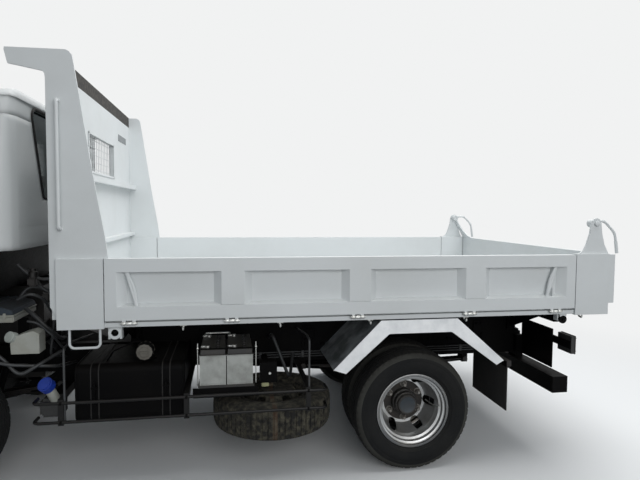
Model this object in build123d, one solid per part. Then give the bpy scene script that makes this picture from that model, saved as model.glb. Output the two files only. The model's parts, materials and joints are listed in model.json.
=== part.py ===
from build123d import *
from math import atan2, cos, degrees, hypot, radians, sin
import os

# A cab-over tipper truck with three drop sides, in millimetres.
# +Z is up, the truck faces -X, its left side is -Y and the ground is Z = 0.
# The origin is on the ground in the middle of the truck's box.

# Driving dimensions
front_reach = 1930          # from the bumper's front to the front edge of the load bed
bed_length = 3330
handle_reach = 110          # how far the tailgate's handles stand behind the bed
body_width = 2200           # over the side gates
cab_width = 2000
wheelbase = 2800
rear_axle_back = 2055       # from the bed's front edge to the rear axle
running_gap = 0.3           # round every pin and shaft
moving_gap = 5              # between pieces that move past each other

overall_length = front_reach + bed_length + handle_reach
bed_x = front_reach - overall_length / 2
front_x = bed_x - front_reach
rear_x = bed_x + bed_length
half_body = body_width / 2
half_cab = cab_width / 2
rear_axle_x = bed_x + rear_axle_back
front_axle_x = rear_axle_x - wheelbase

# Wheels
tyre_radius = 380
tyre_width = 215
rim_radius = 235            # over the rim flange
rim_wall = 8
rim_width = 176             # over the flanges
bead_radius = rim_radius - 13
rim_well = bead_radius - 26
disc_flat = 150             # radius of the wheel disc's flat middle
disc_hole = 60
hub_flange = 130
front_track = 1665
dual_pitch = 245
rear_tyre_face = half_body - 69
axle_z = tyre_radius
hand_holes = 6
hand_hole_radius = 30
hand_hole_circle = rim_radius - 70

# Ladder frame and tipper subframe
frame_top = 740
frame_width = 850
rail_height = 180
rail_flange = 60
rail_wall = 7
half_frame = frame_width / 2
web_inner = half_frame - rail_wall
rail_low = frame_top - rail_height
frame_front = front_x + 130
frame_rear = rear_x - 220
subframe_height = 100
subframe_top = frame_top + subframe_height
subframe_front = bed_x + 260

# Load bed
gate_top = 1365
gate_bottom = 1023
gate_depth = 48
floor_top = 1032
floor_thick = 5
sill_bottom = 985
sill_top = 1010
sill_inset = 14             # the sill's face stands inside the gate's face
bed_beam_bottom = subframe_top + 8
post_bottom = 980
post_inner = half_body - gate_depth
front_post_length = 241
rear_post_length = 234
gate_front = bed_x + front_post_length + moving_gap
rear_post_front = rear_x - rear_post_length
gate_rear = rear_post_front - moving_gap
gate_hinge_z = 1007
gate_hinge_y = half_body
tilt_x = rear_x - 301
tilt_z = 948
tilt_angle = 50
corner_y = half_body - 60   # the bed's corner seats, front and rear

# Tailgate
tailgate_pin_x = rear_x - 93
tailgate_pin_z = 1564
tailgate_front = rear_x + moving_gap
tailgate_depth = 46
tailgate_bottom = 1050

# Cab
cab_wall = 45
cab_bottom = 690
cab_floor_z = 880
cab_hinge_x = front_x + 92
cab_hinge_z = 700
arch_radius = tyre_radius + 75
door_front = front_x + 280
door_rear = bed_x - 620
door_bottom = 885
door_top = 2130

# Hoist
pivot_x = bed_x + 300
pivot_z = 660
eye_x = bed_x + 1700
eye_z = 898
pivot_radius = 24
barrel_radius = 68
barrel_length = 1080
rod_radius = 36

nodes = {}


def keep(name, shape):
    """Hold a finished piece under its node's name."""
    nodes[name] = shape
    print(name, len(shape.solids()), "solids")


def box(x, y, z):
    """A block between two values on each axis."""
    size = [abs(pair[1] - pair[0]) for pair in (x, y, z)]
    middle = [(pair[0] + pair[1]) / 2 for pair in (x, y, z)]
    return Pos(*middle) * Box(*size)


def prism(outline, axis, low, high):
    """An outline in the other two axes, run along one axis from low to high."""
    if axis == "x":
        points = [(low, a, b) for a, b in outline]
        way = (1, 0, 0)
    elif axis == "y":
        points = [(a, low, b) for a, b in outline]
        way = (0, 1, 0)
    else:
        points = [(a, b, low) for a, b in outline]
        way = (0, 0, 1)
    face = Face(Wire.make_polygon(points, close=True))
    return extrude(face, high - low, dir=way)


def rod(start, end, radius):
    """A round bar between two points."""
    start = Vector(*start)
    end = Vector(*end)
    plane = Plane(origin=start, z_dir=end - start)
    return extrude(plane * Circle(radius), (end - start).length)


def tube_along(points, radius, bend):
    """A bent round bar: straight runs joined by arcs."""
    path = FilletPolyline(*points, radius=bend)
    start = Plane(origin=path @ 0, z_dir=path % 0)
    return sweep(start * Circle(radius), path=path)


def crosswise(x, z, y_low, y_high, radius):
    """A round bar that runs across the truck."""
    return rod((x, y_low, z), (x, y_high, z), radius)


def lengthwise(x_low, x_high, y, z, radius):
    """A round bar that runs along the truck."""
    return rod((x_low, y, z), (x_high, y, z), radius)


def both(left):
    """A left piece with its twin on the right, as separate solids."""
    return left + mirror(left, about=Plane.XZ)


def other_side(left):
    """The right-hand twin of a left piece."""
    return mirror(left, about=Plane.XZ)


def turned(profile):
    """Revolve (radius, y) points about the Y axis."""
    face = Face(Wire.make_polygon([(r, y, 0) for r, y in profile], close=True))
    return revolve(face, Axis.Y, 360)


def measured(outline, edge):
    """Move (x, z) points that are measured from the x of an edge."""
    return [(edge + x, z) for x, z in outline]


# Wheels, centred on the origin with their outer side towards -Y

def tyre():
    half = tyre_width / 2
    bead = rim_width / 2 - rim_wall
    outline = [
        (bead_radius, bead), (rim_radius + 1, bead), (rim_radius + 14, bead + 8),
        (rim_radius + 38, half - 4), (rim_radius + 65, half), (tyre_radius - 45, half - 3),
        (tyre_radius - 20, half - 12), (tyre_radius - 8, half - 24), (tyre_radius, half - 42),
    ]
    return turned(outline + [(r, -y) for r, y in reversed(outline)])


def rim(disc_y):
    """A wheel rim with a dished disc, whose flat is at disc_y."""
    half = rim_width / 2
    side = 1 if disc_y > 0 else -1
    join_y = side * (half - 54)
    outer = [
        (rim_radius - 4, half), (rim_radius, half - 3), (rim_radius, half - rim_wall), (bead_radius, half - rim_wall),
        (rim_well, half - 50),
    ]
    lip = bead_radius - rim_wall
    inner = [(rim_well - rim_wall, half - 50), (lip - 14, half - 42), (lip - 10, half - 22), (lip + 4, half - 14),
             (lip + 6, half)]
    barrel = turned(
        outer
        + [(r, -y) for r, y in reversed(outer)]
        + [(r, -y) for r, y in reversed(inner)]
        + inner
    )
    skin = rim_wall + 2
    foot = rim_well - rim_wall + 2
    disc = turned([
        (disc_hole, disc_y), (disc_flat, disc_y), (foot, join_y),
        (foot, join_y - side * 2 * skin), (disc_flat, disc_y - side * skin), (disc_hole, disc_y - side * skin),
    ])
    for hole in range(hand_holes):
        angle = radians(hole * 360 / hand_holes)
        place = Pos(hand_hole_circle * cos(angle), 0, hand_hole_circle * sin(angle))
        disc -= place * Rot(90, 0, 0) * Cylinder(hand_hole_radius, 4 * rim_width)
    return barrel + disc


outer_tyre_y = rear_tyre_face - tyre_width / 2
inner_tyre_y = outer_tyre_y - dual_pitch
dual_middle = (outer_tyre_y + inner_tyre_y) / 2
disc_offset = outer_tyre_y - dual_middle
drum_y = inner_tyre_y - 75
drum_radius = 168
spindle_radius = 36
hub_cap_y = dual_middle + 105
rear_axle_place = Pos(rear_axle_x, 0, axle_z)

rear_tyres = Pos(0, -outer_tyre_y, 0) * tyre() + Pos(0, -inner_tyre_y, 0) * tyre()
outer_rim = Pos(0, -outer_tyre_y, 0) * rim(disc_offset)
inner_rim = Pos(0, -inner_tyre_y, 0) * rim(-disc_offset)
rear_hub = turned([
    (spindle_radius + running_gap, -drum_y), (drum_radius, -drum_y), (drum_radius, -dual_middle + 60),
    (hub_flange, -dual_middle + 10), (hub_flange, -dual_middle - 10), (82, -dual_middle - 10),
    (82, -dual_middle - 45), (72, -dual_middle - 50), (70, -hub_cap_y + 22), (62, -hub_cap_y + 6),
    (48, -hub_cap_y), (0, -hub_cap_y), (0, -dual_middle - 60), (spindle_radius + running_gap, -dual_middle - 60),
])
rear_rims = (outer_rim + inner_rim + rear_hub).solid()
keep("rear_tyres_left", rear_axle_place * rear_tyres)
keep("rear_tyres_right", other_side(rear_axle_place * rear_tyres))
keep("rear_wheels_left", rear_axle_place * rear_rims)
keep("rear_wheels_right", other_side(rear_axle_place * rear_rims))

front_tyre_y = front_track / 2
front_disc_y = front_tyre_y + 95
kingpin_y = front_tyre_y - 120.5
front_spindle = 24
front_drum = 150
front_place = Pos(front_axle_x, -front_tyre_y, axle_z)
front_hub = turned([
    (front_spindle + running_gap, kingpin_y + 45), (front_drum, kingpin_y + 45), (front_drum, kingpin_y + 100),
    (125, front_disc_y - 30), (125, front_disc_y), (72, front_disc_y), (72, front_disc_y + 22),
    (50, front_disc_y + 30), (0, front_disc_y + 30), (0, front_disc_y - 10),
    (front_spindle + running_gap, front_disc_y - 10),
])
front_hub = Pos(front_axle_x, 0, axle_z) * mirror(front_hub, about=Plane.XZ)
front_wheel = (front_place * rim(-95) + front_hub).solid()
keep("front_tyre_left", front_place * tyre())
keep("front_tyre_right", other_side(front_place * tyre()))
keep("front_wheel_left", front_wheel)
keep("front_wheel_right", other_side(front_wheel))

# Steering knuckles: a fork round the axle's eye, with the stub that carries the hub
kingpin_radius = 17
eye_half = 45
fork_half = 32
fork_plate = 33
fork_top = eye_half + 1 + fork_plate
stub_end = front_disc_y - 12
fork = box((front_axle_x - fork_half, front_axle_x + fork_half), (-kingpin_y - 42, -kingpin_y + fork_half),
           (axle_z - fork_top, axle_z + fork_top))
fork -= box((front_axle_x - 60, front_axle_x + 60), (-kingpin_y - 34, -kingpin_y + 60),
            (axle_z - eye_half - 1, axle_z + eye_half + 1))
kingpin = rod((front_axle_x, -kingpin_y, axle_z - fork_top - 6), (front_axle_x, -kingpin_y, axle_z + fork_top + 6),
              kingpin_radius)
stub = crosswise(front_axle_x, axle_z, -stub_end, -kingpin_y - 34, front_spindle)
steer_arm = prism([(front_axle_x - 15, -kingpin_y - 10), (front_axle_x + 170, -kingpin_y + 14),
                   (front_axle_x + 170, -kingpin_y + 46), (front_axle_x - 15, -kingpin_y + 22)],
                  "z", axle_z - eye_half - 28, axle_z - eye_half - 8)
knuckle = (fork + kingpin + stub + steer_arm).solid()
keep("knuckle_left", knuckle)
keep("knuckle_right", other_side(knuckle))

# Front axle: a dropped beam with an eye at each end
spring_y = half_frame - 40
drop_z = axle_z - 62
beam_half = 32
end_y = kingpin_y - 40
beam_outline = [
    (-end_y, axle_z + 30), (-end_y, axle_z - 30), (-end_y + 112, drop_z - 42), (end_y - 112, drop_z - 42),
    (end_y, axle_z - 30), (end_y, axle_z + 30), (end_y - 132, drop_z + 42), (-end_y + 132, drop_z + 42),
]
front_axle = prism(beam_outline, "x", front_axle_x - beam_half, front_axle_x + beam_half)
for side in (-1, 1):
    middle = side * kingpin_y
    front_axle += rod((front_axle_x, middle, axle_z - eye_half), (front_axle_x, middle, axle_z + eye_half), 32)
    front_axle += box((front_axle_x - 28, front_axle_x + 28), (side * (kingpin_y - 60), side * (kingpin_y - 10)),
                      (axle_z - 28, axle_z + 28))
    front_axle -= rod((front_axle_x, middle, axle_z - 100), (front_axle_x, middle, axle_z + 100),
                      kingpin_radius + running_gap)
keep("front_axle", front_axle)

# Rear axle: a banjo housing on tubes, with spindles in the hubs
axle_tube = 62
tube_end = drum_y - moving_gap
spindle_end = dual_middle + 55
half_axle = [(165, 70), (90, 150), (axle_tube, 170), (axle_tube, tube_end), (spindle_radius, tube_end),
             (spindle_radius, spindle_end), (0, spindle_end)]
pinion_x = rear_axle_x - 260
pinion_nose = rod((pinion_x - rear_axle_x, 0, 10), (-60, 0, 10), 62)
rear_axle = turned([(r, -y) for r, y in reversed(half_axle)] + half_axle) + pinion_nose
keep("rear_axle", rear_axle_place * rear_axle)


# Frame rails: channels that open inwards, with a tongue for the cab's hinge and a towing eye in front

def channel(flange, z_low, z_high, x_low, x_high):
    """A channel on the left side, its web on the outside and its flanges inwards."""
    outline = [
        (-half_frame, z_low), (-half_frame + flange, z_low), (-half_frame + flange, z_low + rail_wall),
        (-web_inner, z_low + rail_wall), (-web_inner, z_high - rail_wall),
        (-half_frame + flange, z_high - rail_wall), (-half_frame + flange, z_high), (-half_frame, z_high),
    ]
    return prism(outline, "x", x_low, x_high)


tongue_y = half_frame - 30
tongue_half = 12
hinge_pin_radius = 9
tow_x = front_x + 25
tow_z = 500
tow_hole = 19
rail = channel(rail_flange, rail_low, frame_top, frame_front, frame_rear)
rail += crosswise(cab_hinge_x, cab_hinge_z, -tongue_y - 10, -tongue_y + 10, tongue_half)
rail += box((cab_hinge_x, frame_front + 40), (-tongue_y - 10, -tongue_y + 10),
            (cab_hinge_z - tongue_half, cab_hinge_z + tongue_half))
rail += box((frame_front, frame_front + 40), (-half_frame, -tongue_y + 10),
            (cab_hinge_z - tongue_half, cab_hinge_z + tongue_half))
rail += crosswise(cab_hinge_x, cab_hinge_z, -tongue_y - 36, -tongue_y + 36, hinge_pin_radius)
tow_plate = prism([
    (tow_x - 30, tow_z - 12), (tow_x - 12, tow_z - 32), (tow_x + 20, tow_z - 34), (frame_front + 50, rail_low - 20),
    (frame_front + 50, rail_low + 60), (frame_front, rail_low + 60), (tow_x + 20, tow_z + 34),
    (tow_x - 12, tow_z + 32), (tow_x - 30, tow_z + 12),
], "y", -half_frame, -half_frame + 22)
tow_plate -= crosswise(tow_x, tow_z, -half_frame - 5, -half_frame + 27, tow_hole)
rail = (rail + tow_plate).solid()
keep("frame_rails", both(rail))

# Crossmembers of the ladder frame and the subframe: x, low z, high z, each 60 long
member_length = 60
last_member_x = rear_x - 260
crossmember_table = [
    (front_x + 185, 600, 700),
    (bed_x + 176, 600, 712),
    (bed_x + 950, 572, 652),
    (bed_x + 1560, 600, 700),
    (rear_x - 810, 590, 710),
    (last_member_x, 580, 720),
    (rear_x - 1180, frame_top + 10, subframe_top - 10),
    (rear_x - 680, frame_top + 10, subframe_top - 10),
]
crossmembers = [
    box((x, x + member_length), (-web_inner, web_inner), (low, high)) for x, low, high in crossmember_table
]
pivot_bar = crosswise(pivot_x, pivot_z, -web_inner, web_inner, pivot_radius)
bottle_inner = half_cab - 200
bottle_bracket = box((bed_x - 240, bed_x - 180), (-bottle_inner, -half_frame), (830, 850))
bottle_bracket += box((bed_x - 240, bed_x - 180), (-half_frame - 12, -half_frame), (rail_low + 20, 850))
relay_x = bed_x + 1104
relay_box = box((relay_x, relay_x + 104), (-half_body + 215, -half_body + 300), (566, 692))
relay_box += box((relay_x + 30, relay_x + 70), (-half_body + 300, -half_frame), (600, 616))
keep("crossmembers", Compound(crossmembers + [pivot_bar, bottle_bracket.solid(), relay_box.solid()]))

# Towing jaw behind the last crossmember
jaw_start = last_member_x + member_length
jaw_x = jaw_start + 35
jaw_z = 650
jaw_hole = 20
jaw = box((jaw_start, jaw_x), (-14, 14), (jaw_z - 32, jaw_z + 32)) + crosswise(jaw_x, jaw_z, -14, 14, 32)
jaw -= crosswise(jaw_x, jaw_z, -20, 20, jaw_hole)
keep("tow_jaw", jaw)

# Subframe rails, and arms that carry the hinge pins behind and a ball under each front corner
keep("subframe", both(channel(50, frame_top, subframe_top, subframe_front, tilt_x + 40)))
lug_half = 20
tilt_pin_radius = 18
seat_x = bed_x + 291
ball_radius = 24
ball_z = 950
arm_foot = (frame_top + 2, subframe_top - 10)


def corner_arm(x, z, end_y):
    """A left arm from the subframe's outside to end_y, with its foot plate and a gusset below."""
    top = z + 16
    plate_y = -half_frame - 22
    arm = box((x - 25, x + 25), (end_y, plate_y), (z - 28, top))
    arm += box((x - 25, x + 40), (plate_y, -half_frame - 6), (arm_foot[0], top))
    arm += box((x - 25, x + 40), (plate_y, -half_frame), arm_foot)
    arm += prism([(plate_y, arm_foot[0] + 20), (plate_y, z - 28), (end_y + 190, z - 28)], "x", x - 6, x + 6)
    return arm


hinge_arm = corner_arm(tilt_x, tilt_z, -corner_y + lug_half + 4)
hinge_arm += crosswise(tilt_x, tilt_z, -corner_y - lug_half - 4, -corner_y + lug_half + 6, tilt_pin_radius)
hinge_arm += crosswise(tilt_x, tilt_z, -corner_y - lug_half - 14, -corner_y - lug_half - 3, 26)
front_arm = corner_arm(seat_x, ball_z, -corner_y + 32)
front_arm += crosswise(seat_x, ball_z, -corner_y, -corner_y + 34, 14)
front_arm += Pos(seat_x, -corner_y, ball_z) * Sphere(ball_radius)
keep("bed_seats", both(Compound([hinge_arm.solid(), front_arm.solid()])))

# Engine with its gearbox, one closed mass
engine = box((bed_x - 1080, bed_x - 330), (-280, 280), (480, 1110))
gearbox = prism(measured([(-330, 480), (110, 500), (110, 700), (-120, 790), (-330, 860)], bed_x), "y", -170, 170)
keep("engine", engine + gearbox)

# Propshaft from the gearbox to the rear axle's pinion
shaft = rod((bed_x + 60, 0, 545), (pinion_x + 50, 0, axle_z + 5), 42)
shaft &= box((bed_x + 110, pinion_x), (-60, 60), (300, 700))
keep("propshaft", shaft)

# Exhaust on the right: pipe from the engine, silencer on two hangers, tailpipe ahead of the rear wheels
exhaust_y = half_frame + 195
exhaust_z = rail_low - 105
silencer_x = (bed_x + 380, bed_x + 980)
silencer_radius = 98
pipe_radius = 24
exhaust = lengthwise(silencer_x[0], silencer_x[1], exhaust_y, exhaust_z, silencer_radius)
exhaust += tube_along([
    (bed_x - 330, 235, 540), (bed_x - 210, 235, 540), (bed_x - 70, 300, exhaust_z),
    (bed_x + 150, exhaust_y, exhaust_z), (silencer_x[0] + 10, exhaust_y, exhaust_z),
], pipe_radius, 60)
exhaust += tube_along([
    (silencer_x[1] - 10, exhaust_y, exhaust_z), (silencer_x[1] + 130, exhaust_y, exhaust_z),
    (silencer_x[1] + 310, exhaust_y + 180, exhaust_z - 30),
], pipe_radius, 60)
for x in (silencer_x[0] + 90, silencer_x[1] - 90):
    exhaust += box((x - 15, x + 15), (half_frame, exhaust_y + 10), (rail_low + 2, rail_low + 10))
    exhaust += box((x - 15, x + 15), (exhaust_y - 10, exhaust_y + 10), (exhaust_z + 90, rail_low + 10))
keep("exhaust", exhaust)

# Leaf springs: an arched pack under each rail
spring_half = 35
leaf_end = 16


def leaf_pack(x_middle, half_length, eye_z, pack_z, thick):
    """A left pack: a long top leaf with a thicker middle, hung from the rail at both ends."""
    half_side = [(half_length, eye_z), (120, pack_z)]
    half_under = [(110, pack_z - thick), (half_length * 0.45, pack_z - thick * 0.4), (half_length, eye_z - leaf_end)]
    outline = [(-x, z) for x, z in half_side] + list(reversed(half_side))
    outline += list(reversed(half_under)) + [(-x, z) for x, z in half_under]
    pack = prism(measured(outline, x_middle), "y", -spring_y - spring_half, -spring_y + spring_half)
    for end in (-half_length, half_length):
        pack += box((x_middle + end - 22, x_middle + end + 22), (-spring_y - spring_half, -spring_y + spring_half),
                    (eye_z - 30, rail_low))
    return pack.solid()


front_pack_top = drop_z + 102
rear_pack_top = axle_z + 132
front_spring = leaf_pack(front_axle_x, 560, front_pack_top + 60, front_pack_top, 60)
rear_spring = leaf_pack(rear_axle_x, 620, rear_pack_top + 15, rear_pack_top, 70)
keep("leaf_springs", both(Compound([front_spring, rear_spring])))

# Two batteries in a tray beside the frame, ahead of the rear wheels
battery_x = rear_axle_x - 1314
battery_length = 155
battery_pitch = battery_length + 5
battery_y = (-half_body + 150, -half_frame - 135)
tray_z = 574
batteries = box((battery_x - 8, battery_x + 2 * battery_pitch + 3), (battery_y[0] - 8, -half_frame),
                (tray_z, tray_z + 14))
for low in (battery_x, battery_x + battery_pitch):
    batteries += box((low, low + battery_length), battery_y, (tray_z + 14, 768))
    batteries += box((low + 6, low + battery_length - 6), (battery_y[0] + 6, battery_y[1] - 6), (768, 800))
    for post_y in (battery_y[0] + 60, battery_y[1] - 60):
        batteries += rod((low + 45, post_y, 800), (low + 45, post_y, 818), 9)
keep("batteries", batteries)

# Fuel tank, left side between the frame and the guard rails, with its straps and filler neck
tank_x = (bed_x + 44, battery_x - 84)
tank_y = (-half_body + 150, -half_frame - 5)
tank_z = (402, 736)
filler_x = tank_x[1] - 227
filler_y = tank_y[0] + 130
strap_width = 36
strap_thick = 3


def rounded_tank(x, grow):
    block = box(x, (tank_y[0] - grow, tank_y[1]), (tank_z[0] - grow, tank_z[1] + grow))
    return fillet(block.edges().filter_by(Axis.X), 45)


tank = rounded_tank(tank_x, 0)
for x in (tank_x[0] + 90, tank_x[1] - 90 - strap_width):
    tank += rounded_tank((x, x + strap_width), strap_thick)
    tank += box((x, x + strap_width), (-half_frame - 12, -half_frame), (rail_low, frame_top - 10))
tank += rod((filler_x, filler_y, tank_z[1] - 12), (filler_x, filler_y - 95, tank_z[1] + 64), 34)
tank += crosswise(filler_x, tank_z[1] + 72, tank_y[0] - 15, tank_y[0] + 45, 50)
tank += tube_along([
    (filler_x - 235, filler_y - 40, tank_z[1] - 12), (filler_x - 190, filler_y - 50, tank_z[1] + 60),
    (filler_x - 60, filler_y - 60, tank_z[1] + 118), (filler_x + 25, filler_y - 60, tank_z[1] + 100),
], 5, 28)
keep("fuel_tank", tank)

# Spare wheel, flat under the frame's left side on a carrier
spare_x = rear_axle_x - 857
spare_y = -half_body + 80 + tyre_radius
spare_z = 345
spare_seat = spare_z + 95
carrier_z = spare_z + tyre_width / 2 + 18
spare = Pos(spare_x, spare_y, spare_z) * Rot(-90, 0, 0) * (tyre() + rim(-95))
spare += rod((spare_x, spare_y, spare_seat), (spare_x, spare_y, spare_seat + 8), 78)
spare += rod((spare_x, spare_y, spare_seat), (spare_x, spare_y, carrier_z + 10), 14)
spare += box((spare_x - 25, spare_x + 25), (spare_y - 40, -half_frame + rail_flange), (carrier_z, carrier_z + 20))
spare += box((spare_x - 25, spare_x + 25), (-half_frame, -half_frame + rail_flange), (carrier_z, rail_low))
keep("spare_wheel", spare)

# Side guards: two rails a side on three stays
guard_y = half_body - 40
guard_x = (bed_x - 145, rear_axle_x - 563)
guard_bar = 9
guard_z = (457, 565)
stay_z = guard_z[1] + guard_bar
guard = None
for z in guard_z:
    run = [
        (guard_x[0], -guard_y + 90, z), (guard_x[0], -guard_y, z),
        (guard_x[1], -guard_y, z), (guard_x[1], -guard_y + 90, z),
    ]
    bar = tube_along(run, guard_bar, 35)
    guard = bar if guard is None else guard + bar
for x in (guard_x[0] + 145, (guard_x[0] + guard_x[1]) / 2, guard_x[1] - 112):
    guard += box((x - 15, x + 15), (-guard_y - 4, -guard_y + 10), (440, stay_z + 12))
    guard += box((x - 15, x + 15), (-guard_y + 10, -half_frame), (stay_z, stay_z + 12))
keep("side_guards", both(guard.solid()))

# Rear mudguards: a sheet folded over the twin wheels, with a deep outer flange; x from the axle
guard_outer = half_body - 10
guard_inner = guard_outer - 470
sheet = 4
fold = [(-530, 688), (-240, 978), (248, 978), (562, 703)]
fold_under = [(559, 699), (246, 974), (-238, 974), (-526, 686)]
flange_under = [(518, 678), (213, 899), (-189, 899), (-457, 664)]
mudguard = prism(measured(fold + fold_under, rear_axle_x), "y", -guard_outer, -guard_inner)
mudguard += prism(measured(fold + flange_under, rear_axle_x), "y", -guard_outer, -guard_outer + sheet)
for x in (rear_axle_x - 255, rear_axle_x + 145):
    mudguard += box((x, x + 30), (-guard_inner - 20, -half_frame), (800, 830))
    mudguard += box((x, x + 30), (-guard_inner - 20, -guard_inner), (800, 975))
keep("mudguards", both(mudguard.solid()))

# Rubber flaps behind the rear wheels, each hung from a bracket
flap_x = rear_axle_x + 595
flap_y = half_body - 29
flap = box((flap_x, flap_x + 6), (-flap_y, -guard_inner + 10), (370, 690))
flap += box((flap_x + 6, flap_x + 30), (-flap_y, -half_frame), (655, 690))
keep("mud_flaps", both(flap.solid()))

# Rear underrun beam with the boards that carry the lamps
beam_x = rear_x - 280
board_x = rear_x - 214
board_thick = 8
beam_z = (424, 533)
lamp_y = (half_body - 208, half_body - 65)
underrun = box((beam_x, beam_x + 110), (-half_body + 141, half_body - 141), beam_z)
for side in (-1, 1):
    underrun += box((beam_x + 20, beam_x + 60), (side * (web_inner - 58), side * web_inner), (beam_z[1], rail_low))
    underrun += box((board_x, board_x + board_thick), (side * 460, side * (lamp_y[0] - 52)), (560, 830))
    underrun += box((beam_x + 20, board_x + board_thick), (side * half_frame, side * 470), (beam_z[1], 700))
    underrun += box((board_x, board_x + board_thick), (side * (lamp_y[0] - 52), side * lamp_y[1]), (740, 790))
keep("rear_underrun", underrun)
lamp_x = board_x + board_thick
keep("tail_lamps", both(box((lamp_x, lamp_x + 30), (-lamp_y[1], -lamp_y[0]), (707, 822))))

# Coolant bottle behind the cab, with its slanted neck
bottle = prism(measured([
    (-305, 806), (-309, 866), (-285, 905), (-235, 925), (-190, 937), (-155, 920), (-155, 806),
], bed_x), "y", -bottle_inner - 100, -bottle_inner)
bottle += rod((bed_x - 272, -bottle_inner - 55, 872), (bed_x - 312, -bottle_inner - 75, 902), 25)
keep("coolant_bottle", bottle)

# Front bumper with its brackets, towing slots and headlamps; x from the front, y from the cab's side
bumper_z = (405, 635)
bumper_side = 45
bumper_half = [
    (0, -300), (12, -150), (40, -70), (70, -25), (110, 0), (690, 0), (690, -bumper_side), (150, -bumper_side),
    (110, -70), (80, -140), (60, -300),
]
bumper_plan = [(front_x + x, half_cab + y) for x, y in bumper_half]
bumper_plan += [(x, -y) for x, y in reversed(bumper_plan)]
bumper = prism(bumper_plan, "z", bumper_z[0], bumper_z[1])
lamp_pocket = box((front_x - 10, front_x + 130), (-half_cab + 100, -half_cab + 360), (490, 610))
bumper -= both(lamp_pocket)
bumper -= both(box((front_x - 10, front_x + 90), (-half_frame - 20, -half_frame + 42), (tow_z - 55, tow_z + 55)))
bumper += both(box((front_x + 60, frame_front + 30), (-half_frame - 40, -half_frame), (590, bumper_z[1])))
keep("front_bumper", bumper)
step = box((front_x + 240, front_x + 670), (-half_cab + bumper_side, -half_cab + 240), (452, 472))
step += box((front_x + 240, front_x + 670), (-half_cab + 215, -half_cab + 240), (452, 560))
keep("cab_steps", both(step.solid()))
headlamp = lamp_pocket & prism(bumper_plan, "z", bumper_z[0], bumper_z[1])
keep("headlamps", both(headlamp.solid()))

# Cab: the outer form is where a side, a front and a plan outline meet
roof_z = 2330
side_outline = measured([
    (30, 600), (20, 1000), (35, 1410), (330, 2190), (365, 2250), (440, roof_z - 40), (780, roof_z),
], front_x)
side_outline += measured([
    (-400, roof_z), (-310, roof_z - 7), (-270, roof_z - 20), (-256, roof_z - 48), (-255, 600),
], bed_x)
front_half = [
    (0, 600), (0, 1420), (40, 2150), (50, 2215), (75, roof_z - 62), (115, roof_z - 34), (200, roof_z - 14),
    (500, roof_z - 4), (850, roof_z),
]
front_outline = [(half_cab - y, z) for y, z in front_half]
front_outline += [(-y, z) for y, z in reversed(front_outline)]
plan_half = [
    (front_x + x, half_cab - y) for x, y in ((18, 700), (30, 300), (50, 150), (85, 60), (130, 15), (180, 0))
]
plan_half += [(bed_x + x, half_cab - y) for x, y in ((-380, 0), (-315, 18), (-272, 60), (-255, 125))]
plan_outline = plan_half + [(x, -y) for x, y in reversed(plan_half)]
side_plane = Plane(origin=(0, 0, 0), x_dir=(1, 0, 0), z_dir=(0, -1, 0))
front_plane = Plane(origin=(0, 0, 0), x_dir=(0, 1, 0), z_dir=(1, 0, 0))


def drawn(outline, plane, grow):
    """An outline as a face on a plane, grown or drawn in by a margin."""
    wire = Wire.make_polygon([plane.from_local_coords((a, b, 0)) for a, b in outline], close=True)
    return offset(Face(wire), amount=grow, kind=Kind.INTERSECTION) if grow else Face(wire)


def cab_form(inset):
    """The cab's closed form, drawn in by a wall thickness."""
    side = extrude(drawn(side_outline, side_plane, -inset), 1500, dir=(0, 1, 0), both=True)
    front = extrude(drawn(front_outline, front_plane, -inset), 4000, dir=(1, 0, 0), both=True)
    plan = extrude(drawn(plan_outline, Plane.XY, -inset), 3000, dir=(0, 0, 1))
    return (side & front & plan).solid()


def through(outline, x_low, x_high):
    """Cut an (y, z) outline through the cab's front or back wall."""
    return prism(outline, "x", x_low, x_high)


outer_form = cab_form(0)
inner_form = cab_form(cab_wall)
wide = half_cab + 200
shell = outer_form - inner_form
shell -= box((front_x - 70, bed_x), (-wide, wide), (500, cab_bottom))
shell -= box((front_x + 230, bed_x), (-wide, wide), (500, cab_bottom + 80))
shell -= crosswise(front_axle_x, axle_z, -wide, wide, arch_radius)
back_low = 1400
shell -= prism(measured([
    (-440, 700), (-440, 900), (-400, back_low - 30), (-370, back_low), (-100, back_low), (-100, 700),
], bed_x), "y", -wide, wide)
crease_z = 1525
shell -= box((bed_x - 258, bed_x - 200), (-wide, wide), (crease_z, crease_z + 9))
screen_half = [(150, 1460), (190, 2100), (230, 2130)]
screen_outline = [(half_cab - y, z) for y, z in screen_half]
screen_outline += [(-y, z) for y, z in reversed(screen_outline)]
back_half = [(525, 1700), (350, 2200), (395, 2240)]
back_outline = [(half_cab - y, z) for y, z in back_half]
back_outline += [(-y, z) for y, z in reversed(back_outline)]
screen_hole = through(screen_outline, front_x - 70, front_x + 480)
back_hole = through(back_outline, bed_x - 345, bed_x - 100)
shell = shell - screen_hole - back_hole

door_outline = [
    (door_front, door_bottom), (door_rear, door_bottom), (door_rear, door_top - 70), (door_rear - 60, door_top),
    (door_front + 150, door_top), (door_front, 1750),
]
window_outline = [
    (door_front + 75, 1490), (door_rear - 85, 1450), (door_rear - 85, 2020), (door_rear - 125, 2062),
    (door_front + 180, 2062), (door_front + 75, 1800),
]


def left_slab(outline, grow):
    """An outline run through the cab's left side."""
    face = Pos(0, -wide, 0) * drawn(outline, side_plane, grow)
    return extrude(face, wide - half_cab / 2, dir=(0, 1, 0))


window = left_slab(window_outline, 0)
door = (shell & left_slab(door_outline, 0) - window).solid()
opening = left_slab(door_outline, moving_gap)
shell = shell - opening - other_side(opening)

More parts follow.
